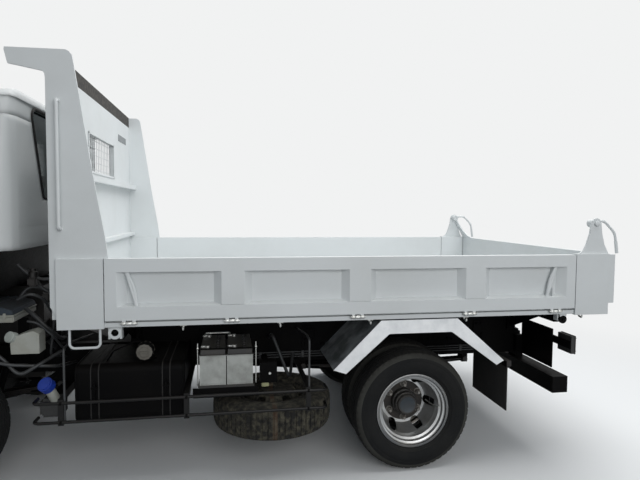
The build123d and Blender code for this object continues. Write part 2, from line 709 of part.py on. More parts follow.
# Door hinges: two on each front edge, their pins outside the skin
door_hinge_table = [1000, 1340]
door_hinge_x = door_front - moving_gap / 2
door_hinge_y = half_cab + 8
hinge_barrel = 7.5
door_leaf = 36
shell_hinges = []
for z in door_hinge_table:
    middle_part = rod((door_hinge_x, -door_hinge_y, z - 20), (door_hinge_x, -door_hinge_y, z + 20), hinge_barrel)
    middle_part += box((door_hinge_x, door_hinge_x + door_leaf), (-half_cab - 6, -half_cab), (z - 20, z + 20))
    door += middle_part
    pin = rod((door_hinge_x, -door_hinge_y, z - 45), (door_hinge_x, -door_hinge_y, z + 45), 4)
    for low in (z - 45, z + 21):
        pin += rod((door_hinge_x, -door_hinge_y, low), (door_hinge_x, -door_hinge_y, low + 24), hinge_barrel)
        pin += box((door_hinge_x - door_leaf, door_hinge_x), (-half_cab - 6, -half_cab), (low, low + 24))
    door -= rod((door_hinge_x, -door_hinge_y, z - 21), (door_hinge_x, -door_hinge_y, z + 21), 4 + running_gap)
    shell_hinges.append(pin)
glass_skin = cab_form(18) - cab_form(24)
door_glass = (glass_skin & window).solid()
keep("door_left", door.solid())
keep("door_right", other_side(door.solid()))
keep("door_glass_left", door_glass)
keep("door_glass_right", other_side(door_glass))

roof_cut = box((front_x - 70, bed_x), (-wide, wide), (2150, 2400))
front_cut = box((front_x - 70, front_x + 170), (-wide, wide), (600, 1410))
grille_half = half_cab - 360
grille_z = (940, 1150)
grille_span = box((front_x - 70, front_x + 230), (-grille_half, grille_half), grille_z)
gutter = (cab_form(-9) - cab_form(2)) & box((front_x + 430, bed_x), (-wide, wide), (roof_z - 78, roof_z - 66))
keep("cab_roof", (shell & roof_cut) + gutter)
keep("cab_front", (shell & front_cut) - grille_span)
cab_shell = shell - roof_cut - front_cut
for hinge in shell_hinges:
    cab_shell += both(hinge)
keep("cab_shell", Compound(cab_shell.solids()))
keep("cab_glass", Compound([(glass_skin & screen_hole).solid(), (glass_skin & back_hole).solid()]))

# Cab floor with its engine cover step and the two hinge forks
hump_top = 1180
shelf_top = back_low + 40
floor_outline = [
    (front_x - 70, cab_floor_z), (bed_x - 1150, cab_floor_z), (bed_x - 1150, hump_top), (bed_x - 450, hump_top),
    (bed_x - 370, shelf_top), (bed_x - 200, shelf_top), (bed_x - 200, back_low), (bed_x - 348, back_low),
    (bed_x - 428, hump_top - 40), (bed_x - 1110, hump_top - 40), (bed_x - 1110, cab_floor_z - 40),
    (front_x - 70, cab_floor_z - 40),
]
cab_floor = prism(floor_outline, "y", -wide, wide) & inner_form
for middle in (-tongue_y - 22, -tongue_y + 22):
    lug = box((cab_hinge_x - 15, cab_hinge_x + 15), (middle - 6, middle + 6), (cab_hinge_z, cab_floor_z - 40))
    lug += crosswise(cab_hinge_x, cab_hinge_z, middle - 6, middle + 6, 15)
    lug -= crosswise(cab_hinge_x, cab_hinge_z, middle - 10, middle + 10, hinge_pin_radius + running_gap)
    cab_floor += both(lug)
keep("cab_floor", cab_floor.solid())

# Seats, dashboard with the steering wheel, grille and mirrors
cushion_top = 1310
seat_side = measured([
    (-1090, hump_top), (-560, hump_top), (-470, 1900), (-490, 1930), (-550, 1930), (-575, 1900), (-640, 1340),
    (-700, cushion_top), (-1060, cushion_top + 10), (-1090, cushion_top - 20),
], bed_x)
driver_seat = prism(seat_side, "y", 180, half_cab - 240)
bench = prism(seat_side, "y", -half_cab + 200, 130)
keep("seats", Compound([driver_seat, bench]))
steering_x = front_x + 490
steering_y = 420
steering_z = 1520
dash_outline = measured([(-70, 1180), (290, 1180), (370, 1300), (330, 1430), (-70, 1450)], front_x)
dashboard = prism(dash_outline, "y", -wide, wide) & inner_form
dashboard += rod((steering_x - 160, steering_y, steering_z - 140), (steering_x, steering_y, steering_z), 28)
wheel_plane = Plane(origin=(steering_x, steering_y, steering_z), z_dir=(160, 0, 140))
steering_wheel = Torus(205, 15) + Box(400, 40, 14) + Cylinder(50, 30)
keep("dashboard", dashboard + Location(wheel_plane) * steering_wheel)

grille = (cab_form(4) - cab_form(30)) & grille_span
bar_pitch = 48
for row in range(4):
    low = grille_z[0] + 22 + row * bar_pitch
    grille -= box((front_x - 70, front_x + 230), (-grille_half + 30, grille_half - 30), (low, low + bar_pitch / 2))
keep("grille", grille)

mirror_x = front_x + 100
mirror_y = half_cab + 110
mirror_arm = tube_along([
    (mirror_x + 40, -half_cab + 60, 1330), (mirror_x - 30, -mirror_y, 1400), (mirror_x - 30, -mirror_y, 2020),
    (mirror_x + 245, -half_cab + 75, 2060),
], 11, 40) - outer_form
mirror_head = box((mirror_x - 70, mirror_x - 20), (-mirror_y - 90, -mirror_y + 100), (1560, 1900))
mirror_head = fillet(mirror_head.edges().filter_by(Axis.X), 25)
keep("mirrors", both((mirror_arm + mirror_head).solid()))

# Bed floor with its sills, gate hinges, hinge lugs and the cups on the front seats
inner_half = half_body - gate_depth - 4
sill_face = half_body - sill_inset
sill_back = sill_face - 60
bed_floor = box((bed_x + 4, rear_x), (-inner_half, inner_half), (floor_top - floor_thick, floor_top))
left_sill = box((bed_x + 4, rear_x), (-post_inner, -sill_back), (sill_bottom, sill_top))
left_sill += box((bed_x + front_post_length, rear_post_front), (-sill_face, -post_inner), (sill_bottom, sill_top))
left_sill += box((bed_x + 4, rear_x), (-inner_half, -inner_half + 8), (sill_top - 1, floor_top))
hinge_table = [bed_x + 372, bed_x + 931, bed_x + 1667, rear_x - 953, rear_x - 371]
knuckle_radius = 9
knuckle_half = 15
sleeve_length = 20
gate_pin = 5
for x in hinge_table:
    left_sill += box((x - knuckle_half, x + knuckle_half), (-gate_hinge_y, -sill_face + 5),
                     (gate_hinge_z - knuckle_radius, gate_hinge_z))
    left_sill += lengthwise(x - knuckle_half, x + knuckle_half, -gate_hinge_y, gate_hinge_z, knuckle_radius)
    left_sill += lengthwise(x - 40, x + 40, -gate_hinge_y, gate_hinge_z, gate_pin)
lug_y = (-corner_y - lug_half, -corner_y + lug_half)
lug = box((tilt_x - 32, tilt_x + 32), lug_y, (tilt_z - 10, sill_bottom + 5))
lug -= crosswise(tilt_x, tilt_z, -corner_y - 60, -corner_y + 60, tilt_pin_radius + running_gap)
lug -= box((tilt_x - tilt_pin_radius - running_gap, tilt_x + tilt_pin_radius + running_gap),
           (-corner_y - 60, -corner_y + 60), (tilt_z - 20, tilt_z))
hood_half = ball_radius + 12
cup = box((seat_x - hood_half, seat_x + hood_half), (-corner_y - 22, -corner_y + 22), (ball_z - 36, ball_z))
cup += crosswise(seat_x, ball_z, -corner_y - 22, -corner_y + 22, hood_half)
cup += box((seat_x - hood_half, seat_x + hood_half), (-corner_y - 22, -corner_y + 22), (ball_z + 10, sill_bottom + 5))
cup -= crosswise(seat_x, ball_z, -corner_y - 40, -corner_y + 40, ball_radius + running_gap)
cup -= box((seat_x - ball_radius - running_gap, seat_x + ball_radius + running_gap),
           (-corner_y - 40, -corner_y + 40), (ball_z - 60, ball_z))
keep("bed_floor", bed_floor + both(left_sill + lug + cup))

# Beams under the floor: two lengthwise on the subframe's line, and cross beams over them
beam_under = floor_top - floor_thick
bed_beam = box((bed_x + 10, tilt_x - 12), (-half_frame, -half_frame + 60), (bed_beam_bottom, sill_bottom))
keep("bed_beams", both(bed_beam))
beam_width = 50
hoist_beam_x = eye_x + 20
first_beam_x = bed_x + 30
last_beam_x = rear_x - 250
front_spaces = 5
rear_spaces = 4
beam_places = [first_beam_x + step * (hoist_beam_x - first_beam_x) / front_spaces for step in range(front_spaces)]
beam_places += [hoist_beam_x + step * (last_beam_x - hoist_beam_x) / rear_spaces for step in range(rear_spaces + 1)]
cross_beams = []
for x in beam_places:
    cross_beam = box((x, x + beam_width), (-sill_back, sill_back), (sill_bottom, beam_under))
    if x == hoist_beam_x:
        for side in (-1, 1):
            cross_beam += box((eye_x - 50, eye_x + 60), (side * 40, side * 54), (eye_z - 40, beam_under))
        cross_beam = cross_beam.solid()
    cross_beams.append(cross_beam)
cross_beams.append(box((rear_x - 40, rear_x), (-sill_back, sill_back), (sill_bottom, beam_under)))
keep("cross_beams", Compound(cross_beams))

# Front posts with the tall cheek plates that hold the headboard
cheek_y = (-half_body + 18, -half_body + 30)
board_top = 2384
strip_top = board_top + 93
window_z = (board_top - 499, board_top - 244)
front_post = box((bed_x, bed_x + front_post_length), (-half_body, -post_inner), (post_bottom, gate_top))
cheek_outline = measured([
    (-4, 1049), (-36, 1104), (-36, board_top - 58), (-39, board_top - 38), (-50, board_top - 25),
    (-216, board_top + 5), (-232, board_top + 74), (-230, strip_top - 5), (66, strip_top - 2),
    (84, strip_top - 10), (98, board_top + 65), (125, board_top - 107), (193, 1816), (250, 1484), (265, 1365),
    (236, 1365), (236, 1049),
], bed_x)
cheek = prism(cheek_outline, "y", cheek_y[0], cheek_y[1])
keep("front_posts", both((front_post + cheek).solid()))

# Headboard between the cheeks, with its window, two ledges and two ribs in front
cheek_inner = -cheek_y[1]
board_front = bed_x - 30
headboard = box((board_front, bed_x), (-cheek_inner, cheek_inner), (floor_top, board_top))
headboard -= box((board_front - 30, bed_x + 20), (-370, 370), window_z)
for low, high, reach in ((window_z[0] - 73, window_z[0] - 35, 58), (1390, 1420, 40)):
    headboard += box((bed_x, bed_x + reach), (-cheek_inner, cheek_inner), (low, high))
headboard += both(box((board_front - 4, board_front), (-700, -620), (floor_top, board_top)))
keep("headboard", headboard)
keep("headboard_strip", box((board_front, bed_x - 2), (-cheek_inner, cheek_inner), (board_top, strip_top)))

# Rear posts with the bell-shaped plates for the tailgate's pins
rear_post = box((rear_post_front, rear_x), (-half_body, -post_inner), (post_bottom, gate_top + 5))
bell_outline = measured([
    (-219, 1365), (-7, 1365), (-19, 1392), (-32, 1430), (-50, 1500), (-58, 1565), (-64, 1582), (-76, 1594),
    (-93, 1599), (-110, 1594), (-122, 1582), (-128, 1565), (-138, 1500), (-160, 1430), (-180, 1392),
], rear_x)
bell_y = -half_body + 14
bell = prism(bell_outline, "y", bell_y, bell_y + 12)
pin_radius = 14
pin = crosswise(tailgate_pin_x, tailgate_pin_z, bell_y - 8, bell_y + 60, pin_radius)
keep("rear_posts", both((rear_post + bell + pin).solid()))

# Grab bars on the cheeks and step loops under the front posts
grab_x = bed_x + 24
grab_y = -half_body - 12
grab = tube_along([
    (grab_x, cheek_y[0], 1527), (grab_x, grab_y, 1527), (grab_x, grab_y, 2206), (grab_x, cheek_y[0], 2206),
], 10, 14)
step_y = -half_body + 24
step = tube_along([
    (bed_x + 58, step_y, post_bottom), (bed_x + 58, step_y, 873), (bed_x + 216, step_y, 873),
    (bed_x + 216, step_y, post_bottom),
], 7, 26)
keep("bed_rails", both(Compound(grab.solids() + step.solids())))

# Side gates: a framed panel with folded ribs, end stiles and a lock lever at each end
rib_table = [bed_x + 937, bed_x + 1680, rear_x - 919]
rib_foot = 214
rib_face = 128
face_depth = gate_depth - 10
top_rail = 1290
bottom_rail = 1098
stile = 62
flare_length = 52
lever_table = [(gate_front + 111, gate_front + 166), (gate_rear - 129, gate_rear - 188)]


def side_gate():
    outer = -half_body
    inner = -post_inner
    gate = box((gate_front, gate_rear), (outer + face_depth, inner), (gate_bottom, gate_top))
    gate += box((gate_front, gate_rear), (outer, inner), (top_rail, gate_top))
    lower = [(outer, gate_bottom), (outer, bottom_rail), (outer + face_depth, bottom_rail + 14),
             (outer + face_depth, gate_bottom)]
    gate += prism(lower, "x", gate_front, gate_rear)
    for end, inward in ((gate_front, 1), (gate_rear, -1)):
        flare = [(end, outer), (end + inward * stile, outer), (end + inward * (stile + flare_length), outer + face_depth),
                 (end, outer + face_depth)]
        gate += prism(flare, "z", bottom_rail, top_rail + 5)
    for middle in rib_table:
        outline = [
            (middle - rib_face / 2, outer), (middle + rib_face / 2, outer),
            (middle + rib_foot / 2, outer + face_depth), (middle - rib_foot / 2, outer + face_depth),
        ]
        gate += prism(outline, "z", bottom_rail + 2, top_rail + 5)
    for top_x, foot_x in lever_table:
        gate += rod((top_x, outer + 14, top_rail + 6), (foot_x, outer + 14, bottom_rail - 2), 9)
    for x in hinge_table:
        for end in (-1, 1):
            near = x + end * (knuckle_half + 2)
            span = (near, near + end * sleeve_length)
            gate += box(span, (-gate_hinge_y, -gate_hinge_y + knuckle_radius), (gate_hinge_z, gate_bottom + 5))
            gate += lengthwise(min(span), max(span), -gate_hinge_y, gate_hinge_z, knuckle_radius)
        gate -= lengthwise(x - 50, x + 50, -gate_hinge_y, gate_hinge_z, gate_pin + running_gap)
    return gate.solid()


left_gate = side_gate()
keep("gate_left", left_gate)
keep("gate_right", other_side(left_gate))

# Tailgate: a framed panel that hangs from two ears, each with its bent handle
tail_half = half_body - 15
tail_back = tailgate_front + tailgate_depth
tailgate = box((tailgate_front, tailgate_front + 10), (-tail_half, tail_half), (tailgate_bottom, gate_top))
tailgate += box((tailgate_front, tail_back), (-tail_half, tail_half), (top_rail, gate_top))
tailgate += box((tailgate_front, tail_back), (-tail_half, tail_half), (tailgate_bottom, tailgate_bottom + 75))
tailgate += both(box((tailgate_front, tail_back), (-tail_half, -tail_half + 70), (tailgate_bottom, gate_top)))
for y in (-540, 0, 540):
    tailgate += box((tailgate_front, tail_back), (y - 60, y + 60), (tailgate_bottom, gate_top))
ear_outer = -bell_y - 18
ear_foot = tailgate_front + 8
ear_run = tailgate_pin_x - ear_foot
ear_rise = tailgate_pin_z - gate_top
ear_height = hypot(ear_run, ear_rise)
ear_half = [(0, 0), (220, 0), (130, 30), (80, 80), (52, 140), (44, ear_height), (0, ear_height)]
ear_plane = Plane(origin=(ear_foot, 0, gate_top - 4), x_dir=(0, 1, 0), z_dir=(ear_rise, 0, -ear_run))
ear_points = [ear_plane.from_local_coords((y - ear_outer, z, 0)) for y, z in ear_half]
ear = extrude(Face(Wire.make_polygon(ear_points, close=True)), 5, dir=tuple(ear_plane.z_dir), both=True)
ear += crosswise(tailgate_pin_x, tailgate_pin_z, -ear_outer, -ear_outer + 44, 26)
handle_y = -ear_outer + 30
ear += tube_along([
    (tailgate_pin_x + 18, handle_y, tailgate_pin_z + 12), (tailgate_pin_x + 90, handle_y, tailgate_pin_z + 18),
    (tailgate_pin_x + 172, handle_y, tailgate_pin_z - 62), (rear_x + handle_reach - 7, handle_y, 1370),
], 7, 24)
ear -= crosswise(tailgate_pin_x, tailgate_pin_z, -half_body - 20, -half_body + 90, pin_radius + running_gap)
keep("tailgate", tailgate + both(ear))

# Hoist: barrel on its bar, rod with the eye at its end
hoist_length = hypot(eye_x - pivot_x, eye_z - pivot_z)
hoist_angle = atan2(eye_z - pivot_z, eye_x - pivot_x)


def along(distance):
    """A point on the hoist's axis, from the barrel's pivot."""
    return (pivot_x + distance * cos(hoist_angle), 0, pivot_z + distance * sin(hoist_angle))


barrel = rod(along(60), along(barrel_length), barrel_radius)
barrel += crosswise(pivot_x, pivot_z, -30, 30, 38)
barrel += box((pivot_x, pivot_x + 80), (-30, 30), (pivot_z - 38, pivot_z + 38))
barrel -= rod(along(120), along(barrel_length + 20), rod_radius + running_gap)
barrel -= crosswise(pivot_x, pivot_z, -60, 60, pivot_radius + running_gap)
keep("hoist_barrel", barrel)
piston = rod(along(140), along(hoist_length - 20), rod_radius)
piston += crosswise(eye_x, eye_z, -35, 35, 30)
keep("hoist_rod", piston)

# Where the tipped bed takes the rod's eye, for the hoist's joint values
turn = radians(tilt_angle)
arm_x = eye_x - tilt_x
arm_z = eye_z - tilt_z
tipped_x = tilt_x + arm_x * cos(turn) + arm_z * sin(turn)
tipped_z = tilt_z - arm_x * sin(turn) + arm_z * cos(turn)
stroke = hypot(tipped_x - pivot_x, tipped_z - pivot_z) - hoist_length
swing = degrees(atan2(tipped_z - pivot_z, tipped_x - pivot_x) - hoist_angle)

os.makedirs("parts", exist_ok=True)
for name, shape in nodes.items():
    shape.label = name
    export_step(shape, f"parts/{name}.step")
print("nodes", len(nodes), "bed_x", bed_x, "front axle", front_axle_x, "rear axle", rear_axle_x)
print("hoist rest length", hoist_length, "stroke", stroke, "swing", swing)
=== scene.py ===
# %% [markdown]
# This lesson dresses a small tipper truck. Its solids come ready from CAD, in metres, and
# never move here. Each cell adds a finish or a piece that a drawing office leaves out: dust on
# paint, tread on a tyre, nuts on a wheel. The truck faces -X, its left side is -Y, Z is up.

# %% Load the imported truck
import json
import math

import bmesh
import bpy
from mathutils import Matrix, Vector

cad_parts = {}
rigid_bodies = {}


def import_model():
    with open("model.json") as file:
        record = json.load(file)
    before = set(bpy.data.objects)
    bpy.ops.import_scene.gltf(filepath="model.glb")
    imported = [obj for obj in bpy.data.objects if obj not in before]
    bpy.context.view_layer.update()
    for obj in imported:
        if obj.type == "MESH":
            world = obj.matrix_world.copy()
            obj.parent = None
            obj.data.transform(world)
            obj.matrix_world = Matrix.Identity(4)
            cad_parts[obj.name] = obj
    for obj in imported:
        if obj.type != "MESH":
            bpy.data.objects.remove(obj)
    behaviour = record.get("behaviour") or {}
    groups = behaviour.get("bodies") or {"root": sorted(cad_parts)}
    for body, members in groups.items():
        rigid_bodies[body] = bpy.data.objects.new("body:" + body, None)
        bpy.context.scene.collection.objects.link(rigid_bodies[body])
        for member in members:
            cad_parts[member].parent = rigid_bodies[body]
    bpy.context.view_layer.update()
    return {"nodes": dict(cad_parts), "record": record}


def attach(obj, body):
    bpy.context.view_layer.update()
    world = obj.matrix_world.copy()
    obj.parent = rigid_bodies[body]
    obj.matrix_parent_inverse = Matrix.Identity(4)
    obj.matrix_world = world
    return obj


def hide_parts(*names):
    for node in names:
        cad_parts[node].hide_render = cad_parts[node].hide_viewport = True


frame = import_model()

# %% [markdown]
# The sizes below are the CAD's own, in metres. A piece that seats on a solid takes its place
# from them, so that it fits without trying. Lengths run from the front edge of the load bed.

# %% The truck's own sizes
BED = -0.755                # front edge of the load bed
REAR = BED + 3.33           # rear edge of the bed
FRONT = BED - 1.93          # front of the bumper
REAR_AXLE = BED + 2.055
FRONT_AXLE = REAR_AXLE - 2.8
AXLE_Z = 0.38
HALF_BODY = 1.1
HALF_CAB = 1.0
HALF_FRAME = 0.425
OUTER_TYRE = 0.9235         # middle of the outer rear tyre, from the truck's middle
INNER_TYRE = 0.6785
DUAL_MIDDLE = 0.801
FRONT_TYRE = 0.8325
BATTERY = BED + 0.741
SIDES = (("left", -1), ("right", 1))

# %% [markdown]
# Colours are given as sRGB hex codes, but a shader wants linear light. One function turns one into
# the other, and one more adds a node, so that a material reads as a recipe.

# %% Colour and node helpers

def linear(hex_code):
    """sRGB hex code to linear RGBA."""
    parts = [int(hex_code[i:i + 2], 16) / 255 for i in (1, 3, 5)]
    light = [c / 12.92 if c <= 0.04045 else ((c + 0.055) / 1.055) ** 2.4 for c in parts]
    return (*light, 1.0)


def add(tree, kind, settings=None, links=None):
    """Add one node: settings go to its sockets or attributes, links to its sockets."""
    made = tree.nodes.new(kind)
    for key, value in (settings or {}).items():
        if isinstance(key, str) and hasattr(made, key):
            setattr(made, key, value)
        else:
            made.inputs[key].default_value = value
    for key, source in (links or {}).items():
        tree.links.new(source, made.inputs[key])
    return made


def new_finish(name):
    """An empty material with its node tree and Principled shader."""
    made = bpy.data.materials.new(name)
    made.use_nodes = True
    return made, made.node_tree, made.node_tree.nodes["Principled BSDF"]


# %% [markdown]
# Paint, rubber and metal on a working truck all carry dirt, and it comes from two things: noise
# that breaks up the colour, and dust that settles where a surface looks up. Both read the
# object's own coordinates, so the dirt stays with its piece when a door opens. A noise of scale
# S has features about 1/S metres wide: 2 gives half-metre clouds, 330 gives 3 mm orange peel.
# A part may show more than one colour, such as a wheel with a dark hub. So marks lay further
# colours over the base, each of them where its mask is 1. Some marks are painted shade or a painted
# reflection, not a colour the part has.

# %% One recipe for a worn surface


def within(axis, low, high):
    """A mask that is 1 between two values on one axis."""
    def mask(tree, place):
        value = add(tree, "ShaderNodeSeparateXYZ", None, {0: place}).outputs[axis]
        above = add(tree, "ShaderNodeMath", {"operation": "GREATER_THAN", 1: low}, {0: value})
        below = add(tree, "ShaderNodeMath", {"operation": "LESS_THAN", 1: high}, {0: value})
        return add(tree, "ShaderNodeMath", {"operation": "MULTIPLY"},
                   {0: above.outputs[0], 1: below.outputs[0]}).outputs[0]
    return mask


def near_axle(axle_x, radius):
    """A mask that is 1 inside a radius round an axle."""
    def mask(tree, place):
        arm = add(tree, "ShaderNodeVectorMath", {"operation": "SUBTRACT", 1: (axle_x, 0, AXLE_Z)},
                  {0: place})
        flat = add(tree, "ShaderNodeVectorMath", {"operation": "MULTIPLY", 1: (1, 0, 1)},
                   {0: arm.outputs[0]})
        reach = add(tree, "ShaderNodeVectorMath", {"operation": "LENGTH"}, {0: flat.outputs[0]})
        return add(tree, "ShaderNodeMath", {"operation": "LESS_THAN", 1: radius},
                   {0: reach.outputs["Value"]}).outputs[0]
    return mask


def ring_band(axle_x, low, high):
    """A mask that is 1 between two radii round an axle."""
    outer, inner = near_axle(axle_x, high), near_axle(axle_x, low)

    def mask(tree, place):
        return add(tree, "ShaderNodeMath", {"operation": "SUBTRACT"},
                   {0: outer(tree, place), 1: inner(tree, place)}).outputs[0]
    return mask


def either(first, other):
    """A mask that is 1 where one of two masks is."""
    def mask(tree, place):
        return add(tree, "ShaderNodeMath", {"operation": "MAXIMUM"},
                   {0: first(tree, place), 1: other(tree, place)}).outputs[0]
    return mask


FINER = 14                  # the dust's speckle is this many times finer than the stains


def worn(name, base, stain, dust, roughness, metallic=0.0, scale=2.0, stain_share=0.5,
         dust_share=0.4, grain=900.0, grain_depth=0.0002, coat=0.0, edge=0.002, marks=(),
         edge_samples=4, gloss=0.5):
    """Base colour with soft stains, dust on what looks up, fine grain and rounded edges."""
    made, tree, shader = new_finish(name)
    shader.inputs["Metallic"].default_value = metallic
    shader.inputs["Coat Weight"].default_value = coat
    shader.inputs["Specular IOR Level"].default_value = gloss
    place = add(tree, "ShaderNodeTexCoord").outputs["Object"]
    cloud = add(tree, "ShaderNodeTexNoise", {"Scale": scale, "Detail": 7.0, "Roughness": 0.62},
                {"Vector": place})
    fine = add(tree, "ShaderNodeTexNoise",
               {"Scale": scale * FINER, "Detail": 5.0, "Roughness": 0.7}, {"Vector": place})
    patch = add(tree, "ShaderNodeMapRange",
                {"From Min": 0.42, "From Max": 0.72, "To Max": stain_share},
                {"Value": cloud.outputs[0]})
    stained = add(tree, "ShaderNodeMix", {"data_type": "RGBA", 6: linear(base), 7: linear(stain)},
                  {0: patch.outputs[0]})
    ground = None
    for colour, mask in marks:
        picked = add(tree, "ShaderNodeMix",
                     {"data_type": "RGBA", 6: linear(base), 7: linear(colour)},
                     {0: mask(tree, place)})
        if ground:
            tree.links.new(ground, picked.inputs[6])
        ground = picked.outputs[2]
    if ground:
        tree.links.new(ground, stained.inputs[6])
    normal = add(tree, "ShaderNodeNewGeometry").outputs["Normal"]
    up = add(tree, "ShaderNodeSeparateXYZ", None, {0: normal})
    level = add(tree, "ShaderNodeMapRange",
                {"From Min": 0.3, "From Max": 1.0, "To Max": dust_share},
                {"Value": up.outputs["Z"]})
    drift = add(tree, "ShaderNodeMath", {"operation": "MULTIPLY"},
                {0: level.outputs[0], 1: fine.outputs[0]})
    dusty = add(tree, "ShaderNodeMix", {"data_type": "RGBA", 7: linear(dust)},
                {0: drift.outputs[0], 6: stained.outputs[2]})
    tree.links.new(dusty.outputs[2], shader.inputs["Base Color"])
    rough = add(tree, "ShaderNodeMapRange",
                {"To Min": roughness - 0.08, "To Max": roughness + 0.14},
                {"Value": fine.outputs[0]})
    tree.links.new(rough.outputs[0], shader.inputs["Roughness"])
    grit = add(tree, "ShaderNodeTexNoise", {"Scale": grain, "Detail": 2.0}, {"Vector": place})
    round_edge = add(tree, "ShaderNodeBevel", {"samples": edge_samples, "Radius": edge})
    bump = add(tree, "ShaderNodeBump", {"Strength": 0.35, "Distance": grain_depth},
               {"Height": grit.outputs[0], "Normal": round_edge.outputs[0]})
    tree.links.new(bump.outputs[0], shader.inputs["Normal"])
    return made


# %% [markdown]
# The bed is sprayed enamel over steel: milky white, half gloss, with faint orange peel and grey
# road film. The cab has the maker's smoother paint under clear coat. Chassis black is nearly
# black where it is shaded and brown-grey where dust lies on it.

# %% Painted finishes
# the hubs' own dark colour, also used as painted shade on the rear wheels' inner parts
HUB_DARK_AND_PAINTED_SHADE = "#24211F"
SILVER = ("#B8BABB", "#7E7A74", "#8A847A", 0.30)
SILVER_WEAR = dict(metallic=0.8, scale=6.0, stain_share=0.7, dust_share=0.5, grain=600.0,
                   grain_depth=0.0003)
# what lies nearer the middle than the outer wheel's disc is darkened: painted shade behind the disc
INNER_SHADE_HALF = 0.8005         # the outer wheel's disc: what lies nearer the middle is dark

bed_enamel = worn("bed_enamel_white", "#D6DADB", "#C4C7C6", "#BDBAB0", 0.40, scale=1.6,
                  stain_share=0.45, dust_share=0.30, grain=330.0, grain_depth=0.0006, edge=0.003,
                  gloss=0.38)
cab_enamel = worn("cab_enamel_white", "#D6D9D9", "#CACDCC", "#C2BFB6", 0.38, scale=1.2,
                  stain_share=0.3, dust_share=0.2, grain=250.0, grain_depth=0.0001, coat=0.1,
                  edge=0.055, edge_samples=12, gloss=0.4)
chassis_black = worn("chassis_black_enamel", "#050506", "#0E0D0C", "#24211E", 0.5, scale=3.0,
                     stain_share=0.7, dust_share=0.45, grain=500.0, grain_depth=0.0006, gloss=0.05)
wheel_silver = worn("wheel_silver_paint", *SILVER, **SILVER_WEAR)
# rear wheels: the hub's own dark colour, and painted shade on all that lies nearer the middle than
# the outer disc
rear_wheel_paint = worn(
    "rear_wheel_paint_hub_and_painted_shade", *SILVER, **SILVER_WEAR,
    marks=[(HUB_DARK_AND_PAINTED_SHADE, either(near_axle(REAR_AXLE, 0.133), within("Y", -INNER_SHADE_HALF, INNER_SHADE_HALF))),
           # a darker ring on the rim's flange: painted shade
           ("#66686A", ring_band(REAR_AXLE, 0.2130, 0.2312))])
front_wheel_paint = worn("front_wheel_paint_and_hub", *SILVER, **SILVER_WEAR,
                         marks=[(HUB_DARK_AND_PAINTED_SHADE, near_axle(FRONT_AXLE, 0.128))])
hub_blue = worn("hub_cap_blue_grey_enamel", "#1E1D1C", "#2A2623", "#3E3C38", 0.5, metallic=0.2,
                scale=12.0, stain_share=0.6, marks=[("#2C353C", near_axle(REAR_AXLE, 0.0515))])
nut_steel = worn("wheel_nut_worn_steel", "#7C7A76", "#453A32", "#5C544A", 0.45, metallic=0.6,
                 scale=40.0, stain_share=0.8)

# %% [markdown]
# Bare metals differ more in roughness than in colour: hard chrome is nearly a mirror, zinc plate
# is cloudy, mill-finish aluminium has a mottled film, and cast iron is grainy and oily. Metals
# keep the default IOR, because their colour does the work. The mudguard mirrors the dark bay
# round it and only its outer hem catches the sky, so a mark darkens all but the hem.

# %% Metal finishes
GUARD_EDGE = 1.0875         # the hem stands further out than this

bare_aluminium = worn("mudguard_bare_aluminium", "#F5F7F8", "#C4C8CC", "#B5B1A8", 0.36,
                      metallic=0.1, scale=7.0, stain_share=0.6, dust_share=0.10, grain=240.0,
                      grain_depth=0.0012,
                      marks=[("#3A3E40", within("Y", -GUARD_EDGE, GUARD_EDGE))])
zinc = worn("zinc_plated_steel", "#BDBFBD", "#8D8A82", "#8C857A", 0.34, metallic=0.9, scale=25.0,
            stain_share=0.6, dust_share=0.3)
cast_iron = worn("cast_iron_oily", "#161616", "#26221F", "#403B34", 0.5, metallic=0.3, scale=8.0,
                 stain_share=0.8, dust_share=0.6, grain=300.0, grain_depth=0.002)
hub_rust = worn("hub_cast_iron_rusty", "#242322", "#3A322C", "#403A33", 0.65, metallic=0.3,
                scale=22.0, stain_share=0.8, grain=420.0, grain_depth=0.0015)
exhaust_steel = worn("exhaust_steel_scorched", "#4C4743", "#5E4636", "#5F584F", 0.7, metallic=0.5,
                     scale=9.0, stain_share=0.9, grain=350.0, grain_depth=0.001)
chrome_rod = worn("hard_chrome_rod", "#C9CBCC", "#B4B6B8", "#9A958C", 0.16, metallic=1.0,
                  scale=10.0, stain_share=0.3, dust_share=0.1)
silvered = worn("silvered_glass", "#D5D9DB", "#C4C8CA", "#9A958C", 0.1, metallic=1.0, scale=5.0,
                stain_share=0.2, dust_share=0.1)

# %% [markdown]
# Rubber scatters light and shows dust first in its mould lines. The spare has never been washed,
# so its finish is more dirt than rubber. Plastics sit between: a grained moulding for the inside,
# milky polythene for the coolant bottle, a stained grey case for the batteries.

# %% Rubber and plastic finishes
TYRE = ("#161718", "#232322", "#3A3833", 0.75)
TYRE_WEAR = dict(scale=5.0, stain_share=0.7, dust_share=0.5, grain=700.0, grain_depth=0.0008,
                 gloss=0.15)
SHOULDER = (0.340, 0.368)   # radii between which a tyre's shoulder is dusty
BATTERY_FRONT = (0.5885, 0.7675)    # heights between which the batteries' cases are pale

